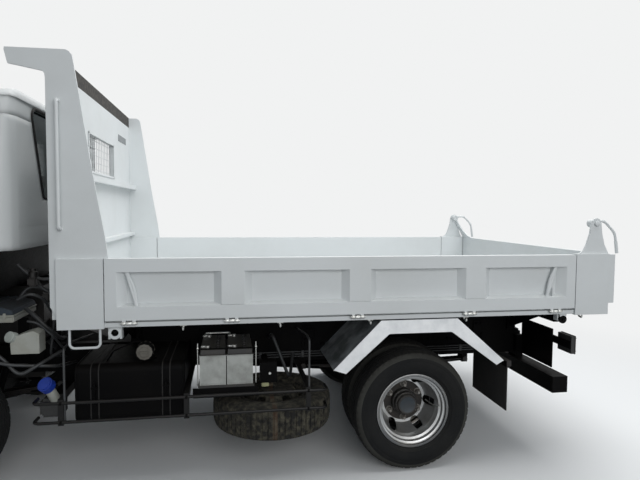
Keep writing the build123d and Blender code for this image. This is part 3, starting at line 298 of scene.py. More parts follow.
rear_tyre_rubber = worn("rear_tyre_rubber", *TYRE, **TYRE_WEAR,
                        marks=[("#3D3D3A", ring_band(REAR_AXLE, *SHOULDER))])
front_tyre_rubber = worn("front_tyre_rubber", *TYRE, **TYRE_WEAR,
                         marks=[("#3D3D3A", ring_band(FRONT_AXLE, *SHOULDER))])
spare_rubber = worn("spare_tyre_caked_in_dirt", "#0F0F0E", "#666254", "#3E3B33", 0.95, scale=30.0,
                    stain_share=0.8, dust_share=0.5, grain=260.0, grain_depth=0.003,
                    marks=[("#3C2B1F", within("X", 0.416, 0.444))])
guard_black = worn("guard_rail_black_gloss", "#0A0A0B", "#161514", "#2A2723", 0.30, scale=6.0,
                   stain_share=0.6, dust_share=0.3, gloss=0.2)
sheet_rubber = worn("mud_flap_rubber", "#101011", "#1E1C1A", "#46413A", 0.78, scale=5.0,
                    stain_share=0.8, dust_share=0.5, grain=500.0, grain_depth=0.0008)
strip_rubber = worn("headboard_strip_rubber", "#121110", "#4E4943", "#4A453E", 0.8, scale=48.0,
                    stain_share=0.9, dust_share=0.5, grain=120.0, grain_depth=0.006)
moulded_black = worn("moulded_black_plastic", "#151617", "#222222", "#45413A", 0.58, scale=5.0,
                     dust_share=0.35, grain_depth=0.0004)
bottle_white = worn("blow_moulded_polythene", "#A9ABA4", "#8E8B7C", "#8A8374", 0.5, scale=9.0,
                    stain_share=0.6, dust_share=0.5)
battery_case = worn("battery_case_and_lid", "#151617", "#3B362E", "#5A5448", 0.5, scale=9.0,
                    dust_share=0.5, grain=400.0, grain_depth=0.0004,
                    marks=[("#B0B3AF", within(2, *BATTERY_FRONT))])
label_grey = worn("bare_grey_label", "#84888A", "#6E7274", "#8A8578", 0.6, scale=20.0,
                  stain_share=0.7)
plate_blank = worn("blank_plate_enamel", "#C9CCCB", "#A9ABA7", "#9A9488", 0.4, scale=8.0,
                   stain_share=0.6)
cap_blue = worn("reservoir_cap_blue", "#1F3FA8", "#16307F", "#4A5578", 0.45, scale=20.0)
filler_grey = worn("filler_cap_grey_plastic", "#625F58", "#4B463F", "#5E584E", 0.6, scale=20.0,
                   stain_share=0.8, grain=500.0, grain_depth=0.0006)
bottle_cap_grey = worn("bottle_cap_pale_plastic", "#B4BAB5", "#8E938C", "#9A9488", 0.5, scale=20.0,
                       stain_share=0.6)
plug_pale = worn("connector_pale_nylon", "#A6A77F", "#77765A", "#6E6A5C", 0.55, scale=24.0,
                 stain_share=0.7)
pipe_grey = worn("steel_pipe_weathered", "#3D3F41", "#292826", "#4A463F", 0.5, metallic=0.45,
                 scale=14.0, stain_share=0.8)
cleaner_grey = worn("air_cleaner_grey_blue", "#2C3742", "#20262C", "#5A564E", 0.55, scale=8.0,
                    stain_share=0.8, dust_share=0.6, grain=400.0)
lining = worn("cab_lining_grey_vinyl", "#8D8F8C", "#7B7C78", "#85817A", 0.75, scale=3.0,
              stain_share=0.4, grain=600.0, grain_depth=0.0005)

# %% [markdown]
# Seat covers are woven: warp and weft threads about 1.6 mm wide pass over and under each other.
# Two wave textures at right angles, multiplied, give that check. One wave spans two threads. The
# colour follows the same height as the bump: lighter where a thread lies on top and darker where it
# dips below, which is painted shade in the weave's hollows. A little sheen stands for the fibres'
# ends.

# %% Woven cloth
THREAD = 0.0016             # width of one thread of the weave, in metres
WAVE_SCALE = 1 / (6.28 * THREAD)

seat_cloth, tree, shader = new_finish("woven_seat_cloth")
shader.inputs["Roughness"].default_value = 0.9
shader.inputs["Sheen Weight"].default_value = 0.35
place = add(tree, "ShaderNodeTexCoord").outputs["Object"]
warp = add(tree, "ShaderNodeTexWave", {"Scale": WAVE_SCALE, "Distortion": 1.5}, {"Vector": place})
weft = add(tree, "ShaderNodeTexWave",
           {"bands_direction": "Z", "Scale": WAVE_SCALE, "Distortion": 1.5}, {"Vector": place})
cross = add(tree, "ShaderNodeMath", {"operation": "MULTIPLY"},
            {0: warp.outputs["Fac"], 1: weft.outputs["Fac"]})
# the yarn's colour darkens where the threads dip: painted shade in the weave's hollows
yarn_and_weave_shade = add(tree, "ShaderNodeMix", {"data_type": "RGBA", 6: linear("#33363A"), 7: linear("#51555B")},
           {0: cross.outputs[0]})
tree.links.new(yarn_and_weave_shade.outputs[2], shader.inputs["Base Color"])
weave = add(tree, "ShaderNodeBump", {"Strength": 0.4, "Distance": 0.001},
            {"Height": cross.outputs[0]})
tree.links.new(weave.outputs[0], shader.inputs["Normal"])

# %% [markdown]
# Glass and lenses let light through. Tempered glass has an IOR of 1.52 and a faint green tint,
# acrylic 1.49. A film of dust raises the roughness in patches, which keeps a pane visible.

# %% Glass and lens finishes


def clear(name, tint, film, roughness, ior, weight):
    """A see-through finish whose film of dust varies over 10 cm."""
    made, tree, shader = new_finish(name)
    shader.inputs["IOR"].default_value = ior
    shader.inputs["Transmission Weight"].default_value = weight
    place = add(tree, "ShaderNodeTexCoord").outputs["Object"]
    dust = add(tree, "ShaderNodeTexNoise", {"Scale": 10.0, "Detail": 6.0}, {"Vector": place})
    rough = add(tree, "ShaderNodeMapRange", {"To Min": roughness, "To Max": roughness + 0.12},
                {"Value": dust.outputs[0]})
    tone = add(tree, "ShaderNodeMix", {"data_type": "RGBA", 6: linear(tint), 7: linear(film)},
               {0: dust.outputs[0]})
    tree.links.new(rough.outputs[0], shader.inputs["Roughness"])
    tree.links.new(tone.outputs[2], shader.inputs["Base Color"])
    return made


window_glass = clear("tempered_window_glass", "#6B7B78", "#59676A", 0.0, 1.52, 0.9)
red_lens = clear("red_acrylic_lens", "#8E0F0C", "#7A1A14", 0.1, 1.49, 0.25)
amber_lens = clear("amber_acrylic_lens", "#C0660C", "#A85A14", 0.1, 1.49, 0.3)
clear_lens = clear("clear_acrylic_lens", "#C8CCCC", "#AEB2B2", 0.04, 1.49, 0.5)

# %% [markdown]
# The CAD's record says which slot each node has, such as white paint or rubber. Most nodes take
# the finish of their slot. A few differ from others in the same slot and are named one by one.

# %% Give each CAD node its finish
BY_SLOT = {
    "white_paint": bed_enamel, "black_paint": chassis_black, "tyre": rear_tyre_rubber,
    "silver_rim": wheel_silver, "bare_aluminium": bare_aluminium, "rubber": sheet_rubber,
    "glass": window_glass, "red_lens": red_lens, "clear_lens": clear_lens,
    "white_plastic": bottle_white, "dark_plastic": moulded_black, "seat_fabric": seat_cloth,
    "cast_metal": cast_iron, "steel": chrome_rod,
}
BY_NODE = {
    "headboard_strip": strip_rubber, "spare_wheel": spare_rubber, "side_guards": guard_black,
    "batteries": battery_case, "rear_wheels_left": rear_wheel_paint,
    "rear_wheels_right": rear_wheel_paint, "front_wheel_left": front_wheel_paint,
    "front_wheel_right": front_wheel_paint, "tail_lamps": moulded_black, "exhaust": exhaust_steel,
}
for node in ("cab_front", "cab_roof", "cab_shell", "door_left", "door_right", "front_bumper"):
    BY_NODE[node] = cab_enamel
for part in frame["record"]["subparts"]:
    shown = frame["nodes"][part["node"]]
    shown.data.materials.clear()
    shown.data.materials.append(BY_NODE.get(part["node"], BY_SLOT[part["material_slot"]]))
print("finishes:", len(bpy.data.materials))

# %% [markdown]
# The list below gives the slot of each finish, so that who reuses the truck could repaint, say, all
# its zinc at once. A finish belongs to one slot, so a single list says it, and a piece that
# differs, such as the plastic sleeves that were painted over with the bed, names its own. piece()
# looks a slot up but does not keep it on the piece.

# %% The slot of each finish
SLOTS = {
    "white_paint": [bed_enamel],
    "black_paint": [chassis_black, pipe_grey],
    "tyre": [spare_rubber, rear_tyre_rubber, front_tyre_rubber],
    "rubber": [sheet_rubber],
    "silver_rim": [zinc, silvered, nut_steel],
    "cast_metal": [cast_iron, hub_rust, hub_blue],
    "bare_aluminium": [bare_aluminium],
    "dark_plastic": [filler_grey, moulded_black, battery_case, label_grey, lining, cleaner_grey,
                     cap_blue],
    "white_plastic": [plate_blank, bottle_white, plug_pale, bottle_cap_grey],
    "red_lens": [red_lens, amber_lens],
    "clear_lens": [clear_lens],
    "seat_fabric": [seat_cloth],
    "steel": [chrome_rod],
}
SLOT_OF = {finish.name: slot for slot, finishes in SLOTS.items() for finish in finishes}

# %% [markdown]
# Every added piece is built from a few forms: a turned ring, a slab with softened edges, a bent
# pipe, a cut plate. Each is a small mesh, and piece() joins them, paints them and lets them ride
# on a body. Modelling them in code keeps every bolt on the hole that it belongs to.

# %% Forms


def turned(profile, centre=(0, 0, 0), axis="Y", sides=48, lobes=0, wave=0.0):
    """Revolve (radius, along) points about an axis; lobes scallop the outside by a wave."""
    form = bmesh.new()
    rings = []
    for radius, along in profile:
        ring = []
        for k in range(sides if radius > 1e-6 else 1):
            turn = 2 * math.pi * k / sides
            reach = radius + (wave * math.cos(lobes * turn) if radius > 3 * wave else 0)
            across, up = reach * math.cos(turn), reach * math.sin(turn)
            spot = {"Y": (across, along, up), "X": (along, across, up),
                    "Z": (across, up, along)}[axis]
            ring.append(form.verts.new(Vector(spot) + Vector(centre)))
        rings.append(ring)
    for first, second in zip(rings, rings[1:]):
        for k in range(sides):
            corner = [first[k % len(first)], first[(k + 1) % len(first)],
                      second[(k + 1) % len(second)], second[k % len(second)]]
            corner = list(dict.fromkeys(corner))
            if len(corner) > 2:
                form.faces.new(corner)
    bmesh.ops.recalc_face_normals(form, faces=form.faces)
    return form


def soften(form, offset):
    """Round every edge of a form."""
    bmesh.ops.bevel(form, geom=form.edges[:], offset=offset, segments=2, affect="EDGES")
    return form


def slab(low, high, soft=0.002):
    """A block between two corners with softened edges."""
    form = bmesh.new()
    bmesh.ops.create_cube(form, size=1)
    size = [abs(b - a) for a, b in zip(low, high)]
    bmesh.ops.scale(form, vec=size, verts=form.verts)
    bmesh.ops.translate(form, vec=[(a + b) / 2 for a, b in zip(low, high)], verts=form.verts)
    return soften(form, min(soft, min(size) * 0.4)) if soft else form


def plate(outline, thick, axis="Y", at=0.0, soft=0.0015):
    """A cut plate: an outline in the other two axes, thick along one axis from at."""
    form = bmesh.new()
    spot = {"Y": lambda a, b: (a, at, b), "X": lambda a, b: (at, a, b),
            "Z": lambda a, b: (a, b, at)}[axis]
    face = form.faces.new([form.verts.new(spot(a, b)) for a, b in outline])
    way = {"Y": (0, thick, 0), "X": (thick, 0, 0), "Z": (0, 0, thick)}[axis]
    pushed = bmesh.ops.extrude_face_region(form, geom=[face])["geom"]
    far_side = [v for v in pushed if isinstance(v, bmesh.types.BMVert)]
    bmesh.ops.translate(form, vec=way, verts=far_side)
    bmesh.ops.recalc_face_normals(form, faces=form.faces)
    return soften(form, min(soft, abs(thick) * 0.4)) if soft else form


def pipe(points, radius, sides=14, bend=3.5):
    """A bent pipe along points, whose corners are rounded by bend times its radius."""
    path = [Vector(p) for p in points]
    smooth = [path[0]]
    for before, here, after in zip(path, path[1:], path[2:]):
        cut = min((here - before).length * 0.45, (after - here).length * 0.45, radius * bend)
        start = here + (before - here).normalized() * cut
        end = here + (after - here).normalized() * cut
        smooth += [start * (1 - t) ** 2 + here * 2 * t * (1 - t) + end * t ** 2
                   for t in (0, 0.2, 0.4, 0.6, 0.8, 1)]
    smooth.append(path[-1])
    form = bmesh.new()
    side = (smooth[1] - smooth[0]).orthogonal().normalized()
    rings = []
    for k, spot in enumerate(smooth):
        way = (smooth[min(k + 1, len(smooth) - 1)] - smooth[max(k - 1, 0)]).normalized()
        side = (side - way * side.dot(way)).normalized()
        other = way.cross(side)
        rings.append([form.verts.new(spot + radius * (side * math.cos(a) + other * math.sin(a)))
                      for a in [2 * math.pi * n / sides for n in range(sides)]])
    for first, second in zip(rings, rings[1:]):
        for k in range(sides):
            form.faces.new([first[k], first[(k + 1) % sides], second[(k + 1) % sides], second[k]])
    form.faces.new(rings[0][::-1])
    form.faces.new(rings[-1])
    bmesh.ops.recalc_face_normals(form, faces=form.faces)
    return form


def bolt(centre, across, axis="Y", way=1):
    """A washer and a chamfered hexagon head, standing on centre."""
    r = across / 2
    washer = [(0, 0), (r * 1.25, 0), (r * 1.25, way * r * 0.22), (0, way * r * 0.22)]
    head = [(0, 0), (r, 0), (r, way * r * 1.05), (r * 0.82, way * r * 1.3), (0, way * r * 1.3)]
    form = turned(head, centre, axis, sides=6)
    join(form, turned(washer, centre, axis, sides=18))
    return form


def join(whole, form):
    """Add a form to a whole, and free it."""
    part = bpy.data.meshes.new("part")
    form.to_mesh(part)
    form.free()
    whole.from_mesh(part)
    bpy.data.meshes.remove(part)


def piece(name, finish, forms, body="chassis", slot=None, crease=32):
    """Join forms into one painted piece that rides on a body; the slot is looked up but not kept.
    """
    whole = bmesh.new()
    for form in forms:
        join(whole, form)
    mesh = bpy.data.meshes.new(name)
    whole.to_mesh(mesh)
    whole.free()
    mesh.materials.append(finish)
    mesh.shade_smooth()
    mesh.set_sharp_from_angle(angle=math.radians(crease))
    made = bpy.data.objects.new(name, mesh)
    bpy.context.scene.collection.objects.link(made)
    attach(made, body)
    slot or SLOT_OF[finish.name]
    print(name, "on", body, "has", len(mesh.polygons), "faces")
    return made


# %% [markdown]
# Most pieces of a truck stand on both sides, or in a circle round a hub. Three small helpers
# spare the sums: sided() takes points to one side, outward() turns a profile that points away
# from the truck's middle, and circle() spaces bolts evenly, as a drilling jig does.

# %% Places on both sides and in circles


def sided(side, *points):
    """The points, with their distance from the truck's middle taken to one side."""
    return [(x, side * y, z) for x, y, z in points]


def outward(profile, centre, side, sides=48):
    """A form turned about the Y axis, whose profile points away from the truck's middle."""
    return turned([(r, side * y) for r, y in profile], centre, sides=sides)


def circle(count, radius, first=0.0):
    """Evenly spaced (across, up) places on a circle, the first at an angle in degrees."""
    turns = [math.radians(first) + 2 * math.pi * k / count for k in range(count)]
    return [(radius * math.cos(turn), radius * math.sin(turn)) for turn in turns]


# %% [markdown]
# A truck tyre's tread is ribs parted by zigzag grooves about 9 mm wide, with notched shoulders.
# The sidewall bulges and has a rim-protecting bead and fine moulded rings. The profile is one
# line, turned in steps, and each other block shifts the grooves: a zigzag without any cutting.

# %% Tyres
SIDEWALL = [                # (radius, distance from the tyre's middle), from the bead outwards
    (0.2215, 0.079), (0.2365, 0.0805), (0.243, 0.0855), (0.249, 0.0905), (0.254, 0.0925),
    (0.2575, 0.0975), (0.262, 0.0985), (0.278, 0.1045), (0.296, 0.1072), (0.314, 0.1072),
    (0.318, 0.1056), (0.3205, 0.1056), (0.323, 0.1067), (0.336, 0.1046), (0.352, 0.0990),
    (0.3605, 0.0930), (0.3650, 0.0905), (0.3700, 0.0840), (0.3735, 0.0740),
]
TREAD_RADIUS = 0.3795
GROOVES = (-0.047, -0.016, 0.016, 0.047)
GROOVE_DEPTH = 0.010
MOUTH, BOTTOM = 0.0055, 0.0035      # half a groove's width at the tread and at its bottom
NOTCH_DEPTH = 0.0035
ZIGZAG = 0.0035
BLOCK_STEPS = ((0, 0), (0.64, 0), (0.70, 1), (0.94, 1))     # share of a pitch, 1 in a notch
DIRT, FULL_NOTCH = 0.0085, 0.0083   # the spare's caked dirt, and its notch across the tread


def tyre_line(shift, notch, grow, across):
    """The section: grow swells it for dirt, across cuts the notch through the whole tread."""
    top = []
    for groove in GROOVES:
        middle = groove + shift
        for drop, y in ((0, middle - MOUTH), (GROOVE_DEPTH, middle - BOTTOM),
                        (GROOVE_DEPTH, middle + BOTTOM), (0, middle + MOUTH)):
            top.append((TREAD_RADIUS + grow - 0.5 * y * y - max(drop - grow, notch * across), y))
    wall = []
    for r, y in SIDEWALL:
        swell = grow if r > 0.355 else 0
        cut = notch * NOTCH_DEPTH if r > 0.362 else 0
        wall.append((r + swell - cut, y + grow * 0.3))
    return [(r, -y) for r, y in wall] + top + [(r, y) for r, y in reversed(wall)]


def tyre(centre, axis="Y", blocks=52, grow=0.0, across=0.0):
    """A treaded tyre: blocks is how many it has round its tread."""
    form = bmesh.new()
    rings = []
    for block in range(blocks):
        for share, notch in BLOCK_STEPS:
            turn = 2 * math.pi * (block + share) / blocks
            ring = []
            for r, y in tyre_line(ZIGZAG if block % 2 else -ZIGZAG, notch, grow, across):
                spot = (r * math.cos(turn), y, r * math.sin(turn))
                if axis == "Z":
                    spot = (spot[0], spot[2], spot[1])
                ring.append(form.verts.new(Vector(spot) + Vector(centre)))
            rings.append(ring)
    for here, there in zip(rings, rings[1:] + rings[:1]):
        for a in range(len(here) - 1):
            form.faces.new([here[a], there[a], there[a + 1], here[a + 1]])
    bmesh.ops.recalc_face_normals(form, faces=form.faces)
    return form


for word, side in SIDES:
    pair = [tyre((REAR_AXLE, side * middle, AXLE_Z)) for middle in (OUTER_TYRE, INNER_TYRE)]
    rear = piece("tyre_pair_" + word, rear_tyre_rubber, pair, word + "_rear_wheels")
    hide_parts("rear_tyres_" + word)
    front = piece("tyre_front_" + word, front_tyre_rubber,
                  [tyre((FRONT_AXLE, side * FRONT_TYRE, AXLE_Z))], word + "_front_wheel")
    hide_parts("front_tyre_" + word)
SPARE = (REAR_AXLE - 0.857, -0.64, 0.345)
piece("spare_tread", spare_rubber, [tyre(SPARE, "Z", blocks=70, grow=DIRT, across=FULL_NOTCH)])

# %% [markdown]
# Six nuts on a 222 mm circle hold each wheel. On the driven pair they sit on rusty studs round a
# ring, and the axle's flat blue-grey cap, held by eight small bolts, stands proud of them. The
# inner tyre's valve stem reaches out through a hand hole.

# %% Hubs, nuts and valves
NUT_CIRCLE = 0.111
CAP_CIRCLE = 0.079
RING_THICK = 0.012
REAR_HUB = DUAL_MIDDLE + 0.0005     # the wheel discs' outer faces, from the truck's middle
FRONT_HUB = FRONT_TYRE + 0.0955
VALVE_LINE = ((0.150, 0.83), (0.158, 0.90), (0.178, 0.985))
HUB_CAP = [(0.0835, 0.010), (0.084, 0.046), (0.0750, 0.0515), (0.0740, 0.0830),
           (0.0660, 0.0850), (0.0655, 0.1005), (0.0600, 0.1065), (0.0540, 0.1070),
           (0.0510, 0.1055), (0, 0.1055)]


def hub_ring(centre_x, face_y, side):
    """The flange ring that shows on a wheel's outer side."""
    rim = [(0.086, 0.0), (0.133, 0.0), (0.134, 0.006), (0.128, RING_THICK), (0.086, RING_THICK)]
    return [outward(rim, (centre_x, face_y, AXLE_Z), side)]


def wheel_nuts(centre_x, face_y, side):
    """Six nuts on the ring, each with the end of its stud."""
    stud = [(0.011, 0), (0.011, 0.036), (0.009, 0.039), (0, 0.039)]
    forms = []
    for across, up in circle(6, NUT_CIRCLE, 30):
        spot = (centre_x + across, face_y + side * RING_THICK, AXLE_Z + up)
        forms += [bolt(spot, 0.036, "Y", side), outward(stud, spot, side, sides=14)]
    return forms


for word, side in SIDES:
    rear_body, front_body = word + "_rear_wheels", word + "_front_wheel"
    rear_at, front_at = (REAR_AXLE, side * REAR_HUB, side), (FRONT_AXLE, side * FRONT_HUB, side)
    piece("rear_hub_ring_" + word, hub_rust, hub_ring(*rear_at), rear_body)
    piece("rear_wheel_nuts_" + word, nut_steel, wheel_nuts(*rear_at), rear_body)
    piece("front_wheel_nuts_" + word, nut_steel, wheel_nuts(*front_at), front_body)
    cap = [outward(HUB_CAP, (REAR_AXLE, side * DUAL_MIDDLE, AXLE_Z), side, sides=64)]
    for across, up in circle(8, CAP_CIRCLE, 22.5):
        cap.append(bolt((REAR_AXLE + across, side * (DUAL_MIDDLE + 0.049), AXLE_Z + up), 0.0085,
                        "Y", side))
    piece("rear_hub_cap_" + word, hub_blue, cap, rear_body)
    piece("front_hub_ring_" + word, hub_rust, hub_ring(*front_at), front_body)
    stem = [(REAR_AXLE + x, side * y, AXLE_Z) for x, y in VALVE_LINE]
    piece("valve_stems_" + word, zinc, [pipe(stem, 0.0045, sides=10)], rear_body)

# %% [markdown]
# The fuel tank is pressed sheet with a rolled seam round each end. Two steel straps hold it, each
# drawn tight by a long bolt over a rubber strip, and the cap has a scalloped rim for the hand.

# %% Fuel tank fittings
TANK = (BED + 0.044, BED + 0.657)
TANK_FACE, TANK_BACK = -0.95, -0.44
TANK_LOW, TANK_TOP = 0.402, 0.736
FILLER = Vector((BED + 0.43, -0.905, 0.808))
FILLER_CAP = [(0.044, 0.001), (0.0503, 0.0), (0.0504, -0.003), (0.0470, -0.006),
              (0.0470, -0.056), (0.0445, -0.0615), (0.032, -0.0625), (0.028, -0.066), (0, -0.067)]
STRAP_INSET, STRAP_HALF = 0.108, 0.021


def tank_round(x, radius, corner=0.045):
    """A pipe round the tank's section at x, open at the frame's side."""
    points = [(x, TANK_BACK, TANK_LOW)]
    middle_y = TANK_FACE + corner
    for middle_z, start in ((TANK_LOW + corner, 270), (TANK_TOP - corner, 180)):
        for step in range(7):
            turn = math.radians(start - 15 * step)
            points.append((x, middle_y + corner * math.cos(turn),
                           middle_z + corner * math.sin(turn)))
    return pipe(points + [(x, TANK_BACK, TANK_TOP)], radius, sides=10, bend=1.0)


piece("tank_seams", chassis_black,
      [tank_round(TANK[0] + 0.008, 0.0055), tank_round(TANK[1] - 0.008, 0.0055)])
strap_edges, strap_bolts = [], []
for x in (TANK[0] + STRAP_INSET, TANK[1] - STRAP_INSET):
    strap_edges += [tank_round(x + edge, 0.0038) for edge in (-STRAP_HALF, STRAP_HALF)]
    for foot in (0.520, 0.600):
        strap_bolts.append(slab((x - 0.017, TANK_FACE - 0.020, foot),
                                (x + 0.017, TANK_FACE - 0.003, foot + 0.014)))
    strap_bolts += [pipe([(x, TANK_FACE - 0.012, z) for z in (0.505, 0.640)], 0.005, sides=10),
                    bolt((x, TANK_FACE - 0.012, 0.614), 0.017, "Z")]
piece("tank_strap_rubbers", sheet_rubber, strap_edges)
piece("tank_strap_bolts", chassis_black, strap_bolts)
piece("tank_drain_plug", zinc, [bolt((sum(TANK) / 2, -0.70, TANK_LOW), 0.030, "Z", -1)])
grip = slab(FILLER - Vector((0.026, 0.074, 0.006)), FILLER + Vector((0.026, -0.063, 0.006)))
piece("filler_cap", filler_grey,
      [turned(FILLER_CAP, FILLER, sides=96, lobes=12, wave=0.0010), grip])
piece("filler_neck_ring", chassis_black,
      [turned([(0.036, 0.0), (0.052, 0.0), (0.052, 0.006), (0.036, 0.012)],
              (FILLER.x, -0.826, TANK_TOP), "Z")])

# %% [markdown]
# Two batteries stand in a tray. Each has ribbed polypropylene walls, a rim under the lid, six
# plugs and two lead posts with clamps, and one angle bar with hook bolts holds both down. A rigid
# link joins them. Lead goes dull grey at once, so the zinc finish serves with its stains.

# %% Batteries
BATTERY_STEP = 0.160        # from one battery to the next
POSTS = (-0.890, -0.620)
HOOK_Y = -0.925

ribs, plugs, clamps = [], [], []
for low in (BATTERY, BATTERY + BATTERY_STEP):
    ribs += [slab((low - 0.002, -0.952, 0.762), (low + 0.157, -0.558, 0.771)),
             slab((low + 0.014, -0.9525, 0.594), (low + 0.141, -0.9495, 0.600), 0.001)]
    for k in range(6):
        plugs.append(turned([(0, 0), (0.013, 0), (0.012, 0.006), (0.004, 0.007), (0, 0.005)],
                            (low + 0.105, -0.905 + k * 0.060, 0.800), "Z", sides=18))
    for y in POSTS:
        clamps += [turned([(0.0095, 0), (0.015, 0), (0.0145, 0.013), (0.0095, 0.014)],
                          (low + 0.045, y, 0.801), "Z", sides=20),
                   slab((low + 0.006, y - 0.008, 0.802), (low + 0.034, y + 0.008, 0.813)),
                   bolt((low + 0.016, y - 0.008, 0.8075), 0.010, "Y", -1)]
link = [(0.020, -0.620, 0.808), (0.020, -0.600, 0.822), (0.180, -0.600, 0.822),
        (0.180, -0.620, 0.808)]
clamps.append(pipe([(BATTERY + x, y, z) for x, y, z in link], 0.006, sides=10))
piece("battery_plugs", moulded_black, plugs)
piece("battery_ribs", battery_case, ribs)
piece("battery_clamps", zinc, clamps)
bar = (BATTERY - 0.012, BATTERY + 0.334)
hooks = []
for x in bar:
    hooks += [pipe([(x, HOOK_Y, 0.838), (x, HOOK_Y, 0.590), (x, HOOK_Y - 0.010, 0.586)], 0.0036,
                   sides=10), bolt((x, HOOK_Y, 0.8040), 0.014, "Z")]
piece("battery_hook_bolts", zinc, hooks)
piece("battery_hold_down", chassis_black,
      [slab((bar[0], HOOK_Y - 0.010, 0.8005), (bar[1], HOOK_Y + 0.010, 0.8040), 0.001),
       slab((BATTERY - 0.040, -0.958, 0.515), (BATTERY + 0.345, -0.950, 0.5745), 0.001)])

# %% [markdown]
# The chassis is riveted and bolted: four heads where each crossmember meets a rail, and fixing
# plates between rails and subframe. Small steel pieces like these catch the light and give the
# underside its scale.

# %% Frame bolts and subframe plates
CROSSMEMBERS = ((FRONT + 0.185, 0.65), (BED + 0.176, 0.656), (BED + 0.95, 0.612),
                (BED + 1.56, 0.65), (REAR - 0.81, 0.65), (REAR - 0.26, 0.65))
PLATE_THICK = 0.008
PLATE_HOLES = ((0.03, 0.685), (0.08, 0.685), (0.03, 0.715), (0.08, 0.715), (0.04, 0.79),
               (0.07, 0.79))

heads, fixings = [], []
for _, side in SIDES:
    rail = side * HALF_FRAME
    for x, z in CROSSMEMBERS:
        for dx, dz in ((0.012, -0.03), (0.048, -0.03), (0.012, 0.03), (0.048, 0.03)):
            heads.append(bolt((x + dx, rail, z + dz), 0.020, "Y", side))
    for x in (BED + 0.70, BED + 1.42, BED + 2.30, BED + 2.72):
        shape = [(x, 0.66), (x + 0.11, 0.66), (x + 0.09, 0.815), (x + 0.02, 0.815)]
        fixings.append(plate(shape, side * PLATE_THICK, "Y", rail))
        for dx, z in PLATE_HOLES:
            fixings.append(bolt((x + dx, rail + side * PLATE_THICK, z), 0.017, "Y", side))
piece("frame_bolts", chassis_black, heads)
piece("subframe_plates", chassis_black, fixings)

# %% [markdown]
# A leaf spring is a stack of flat steel leaves, each shorter than the one above it. Two U-bolts
# clamp the stack to the axle, and a shock absorber stands beside it, just behind the axle.

# %% Springs, U-bolts and shock absorbers
SPRING_Y = HALF_FRAME - 0.04
LEAF_PITCH, LEAF_THICK, LEAF_WIDE = 0.0113, 0.0088, 0.0745
U_BOLT = 0.043              # half the width between a U-bolt's legs
DAMPER_Y = 0.485
SPRINGS = (                 # axle, half length, eye height, pack height, axle pad, leaves
    (FRONT_AXLE, 0.56, 0.48, 0.42, 0.270, 5),
    (REAR_AXLE, 0.62, 0.527, 0.512, 0.300, 6),
)
EYE_CAP = [(0, -0.05), (0.019, -0.05), (0.021, -0.044), (0.021, 0.044), (0.019, 0.05), (0, 0.05)]


def leaves(axle_x, half_length, eye_z, pack_z, count):
    """Side outlines of a pack's leaves, each a little shorter than the one above."""
    forms = []
    for k in range(count):
        reach = half_length * (1 - 0.145 * k) - 0.03
        rise = (eye_z - pack_z) * (reach - 0.12) / (half_length - 0.12)
        top = [(-reach, pack_z + rise), (-0.12, pack_z), (0.12, pack_z), (reach, pack_z + rise)]
        line = [(axle_x + x, z - k * LEAF_PITCH) for x, z in top]
        forms.append(line + [(x, z - LEAF_THICK) for x, z in reversed(line)])
    return forms


spring_steel, strapping, dampers = [], [], []
for _, side in SIDES:
    middle = side * SPRING_Y
    for axle_x, half, eye_z, pack_z, low, count in SPRINGS:
        for line in leaves(axle_x, half, eye_z, pack_z, count):
            spring_steel.append(plate(line, LEAF_WIDE, "Y", middle - LEAF_WIDE / 2, 0.001))
        for x in (axle_x - 0.078, axle_x + 0.078):
            legs = ((-U_BOLT, low - 0.03), (-U_BOLT, pack_z + 0.014), (U_BOLT, pack_z + 0.014),
                    (U_BOLT, low - 0.03))
            strapping.append(pipe([(x, middle + dy, z) for dy, z in legs], 0.008, sides=10))
            for dy in (-U_BOLT, U_BOLT):
                strapping.append(bolt((x, middle + dy, low - 0.012), 0.024, "Z", -1))
        strapping.append(slab((axle_x - 0.10, middle - 0.058, low - 0.012),
                              (axle_x + 0.10, middle + 0.058, low)))
        for dx in (-half + 0.002, half - 0.002):
            strapping.append(turned(EYE_CAP, (axle_x + dx, middle, eye_z - 0.006), sides=20))
        near, far = axle_x + 0.14, axle_x + 0.26
        dampers += [pipe(sided(side, (near, DAMPER_Y, low + 0.03),
                               (near + 0.06, DAMPER_Y, low + 0.17)), 0.030, sides=20),
                    pipe(sided(side, (near + 0.055, DAMPER_Y, low + 0.16), (far, DAMPER_Y, 0.64)),
                         0.024, sides=20),
                    pipe(sided(side, (far, 0.41, 0.63), (far, 0.515, 0.63)), 0.012),
                    pipe(sided(side, (near, 0.40, low + 0.035), (near, 0.515, low + 0.035)), 0.012),
                    slab((near - 0.14, middle - 0.02, low - 0.010),
                         (near + 0.03, side * 0.50, low + 0.010))]
piece("spring_leaves", cast_iron, spring_steel)
piece("spring_u_bolts", cast_iron, strapping)
piece("shock_absorbers", chassis_black, dampers)

# %% [markdown]
# The propshaft ends in flanges with four bolts, the rear axle's round cover has twelve, and
# clamp bands hold the silencer and the pipe. All are turned rings with bolts set in a circle.

# %% Axle, propshaft and exhaust fittings
BOX_FLANGE, AXLE_FLANGE = (BED + 0.118, 0.540), (REAR_AXLE - 0.285, 0.398)
SHAFT_FLANGE = [(0.0, 0), (0.066, 0), (0.068, 0.003), (0.068, 0.015), (0.064, 0.018), (0.0, 0.018)]
SILENCER = (BED + 0.38, BED + 0.98)
EXHAUST_Y, EXHAUST_Z = 0.62, 0.455
BANDS = (                   # place, radius, width
    (SILENCER[0] - 0.002, 0.1000, 0.012), (SILENCER[1] - 0.010, 0.1000, 0.012),
    (SILENCER[0] + 0.075, 0.1003, 0.030), (SILENCER[1] - 0.105, 0.1003, 0.030),
    (SILENCER[0] - 0.05, 0.0285, 0.025), (SILENCER[1] + 0.03, 0.0285, 0.025),
)

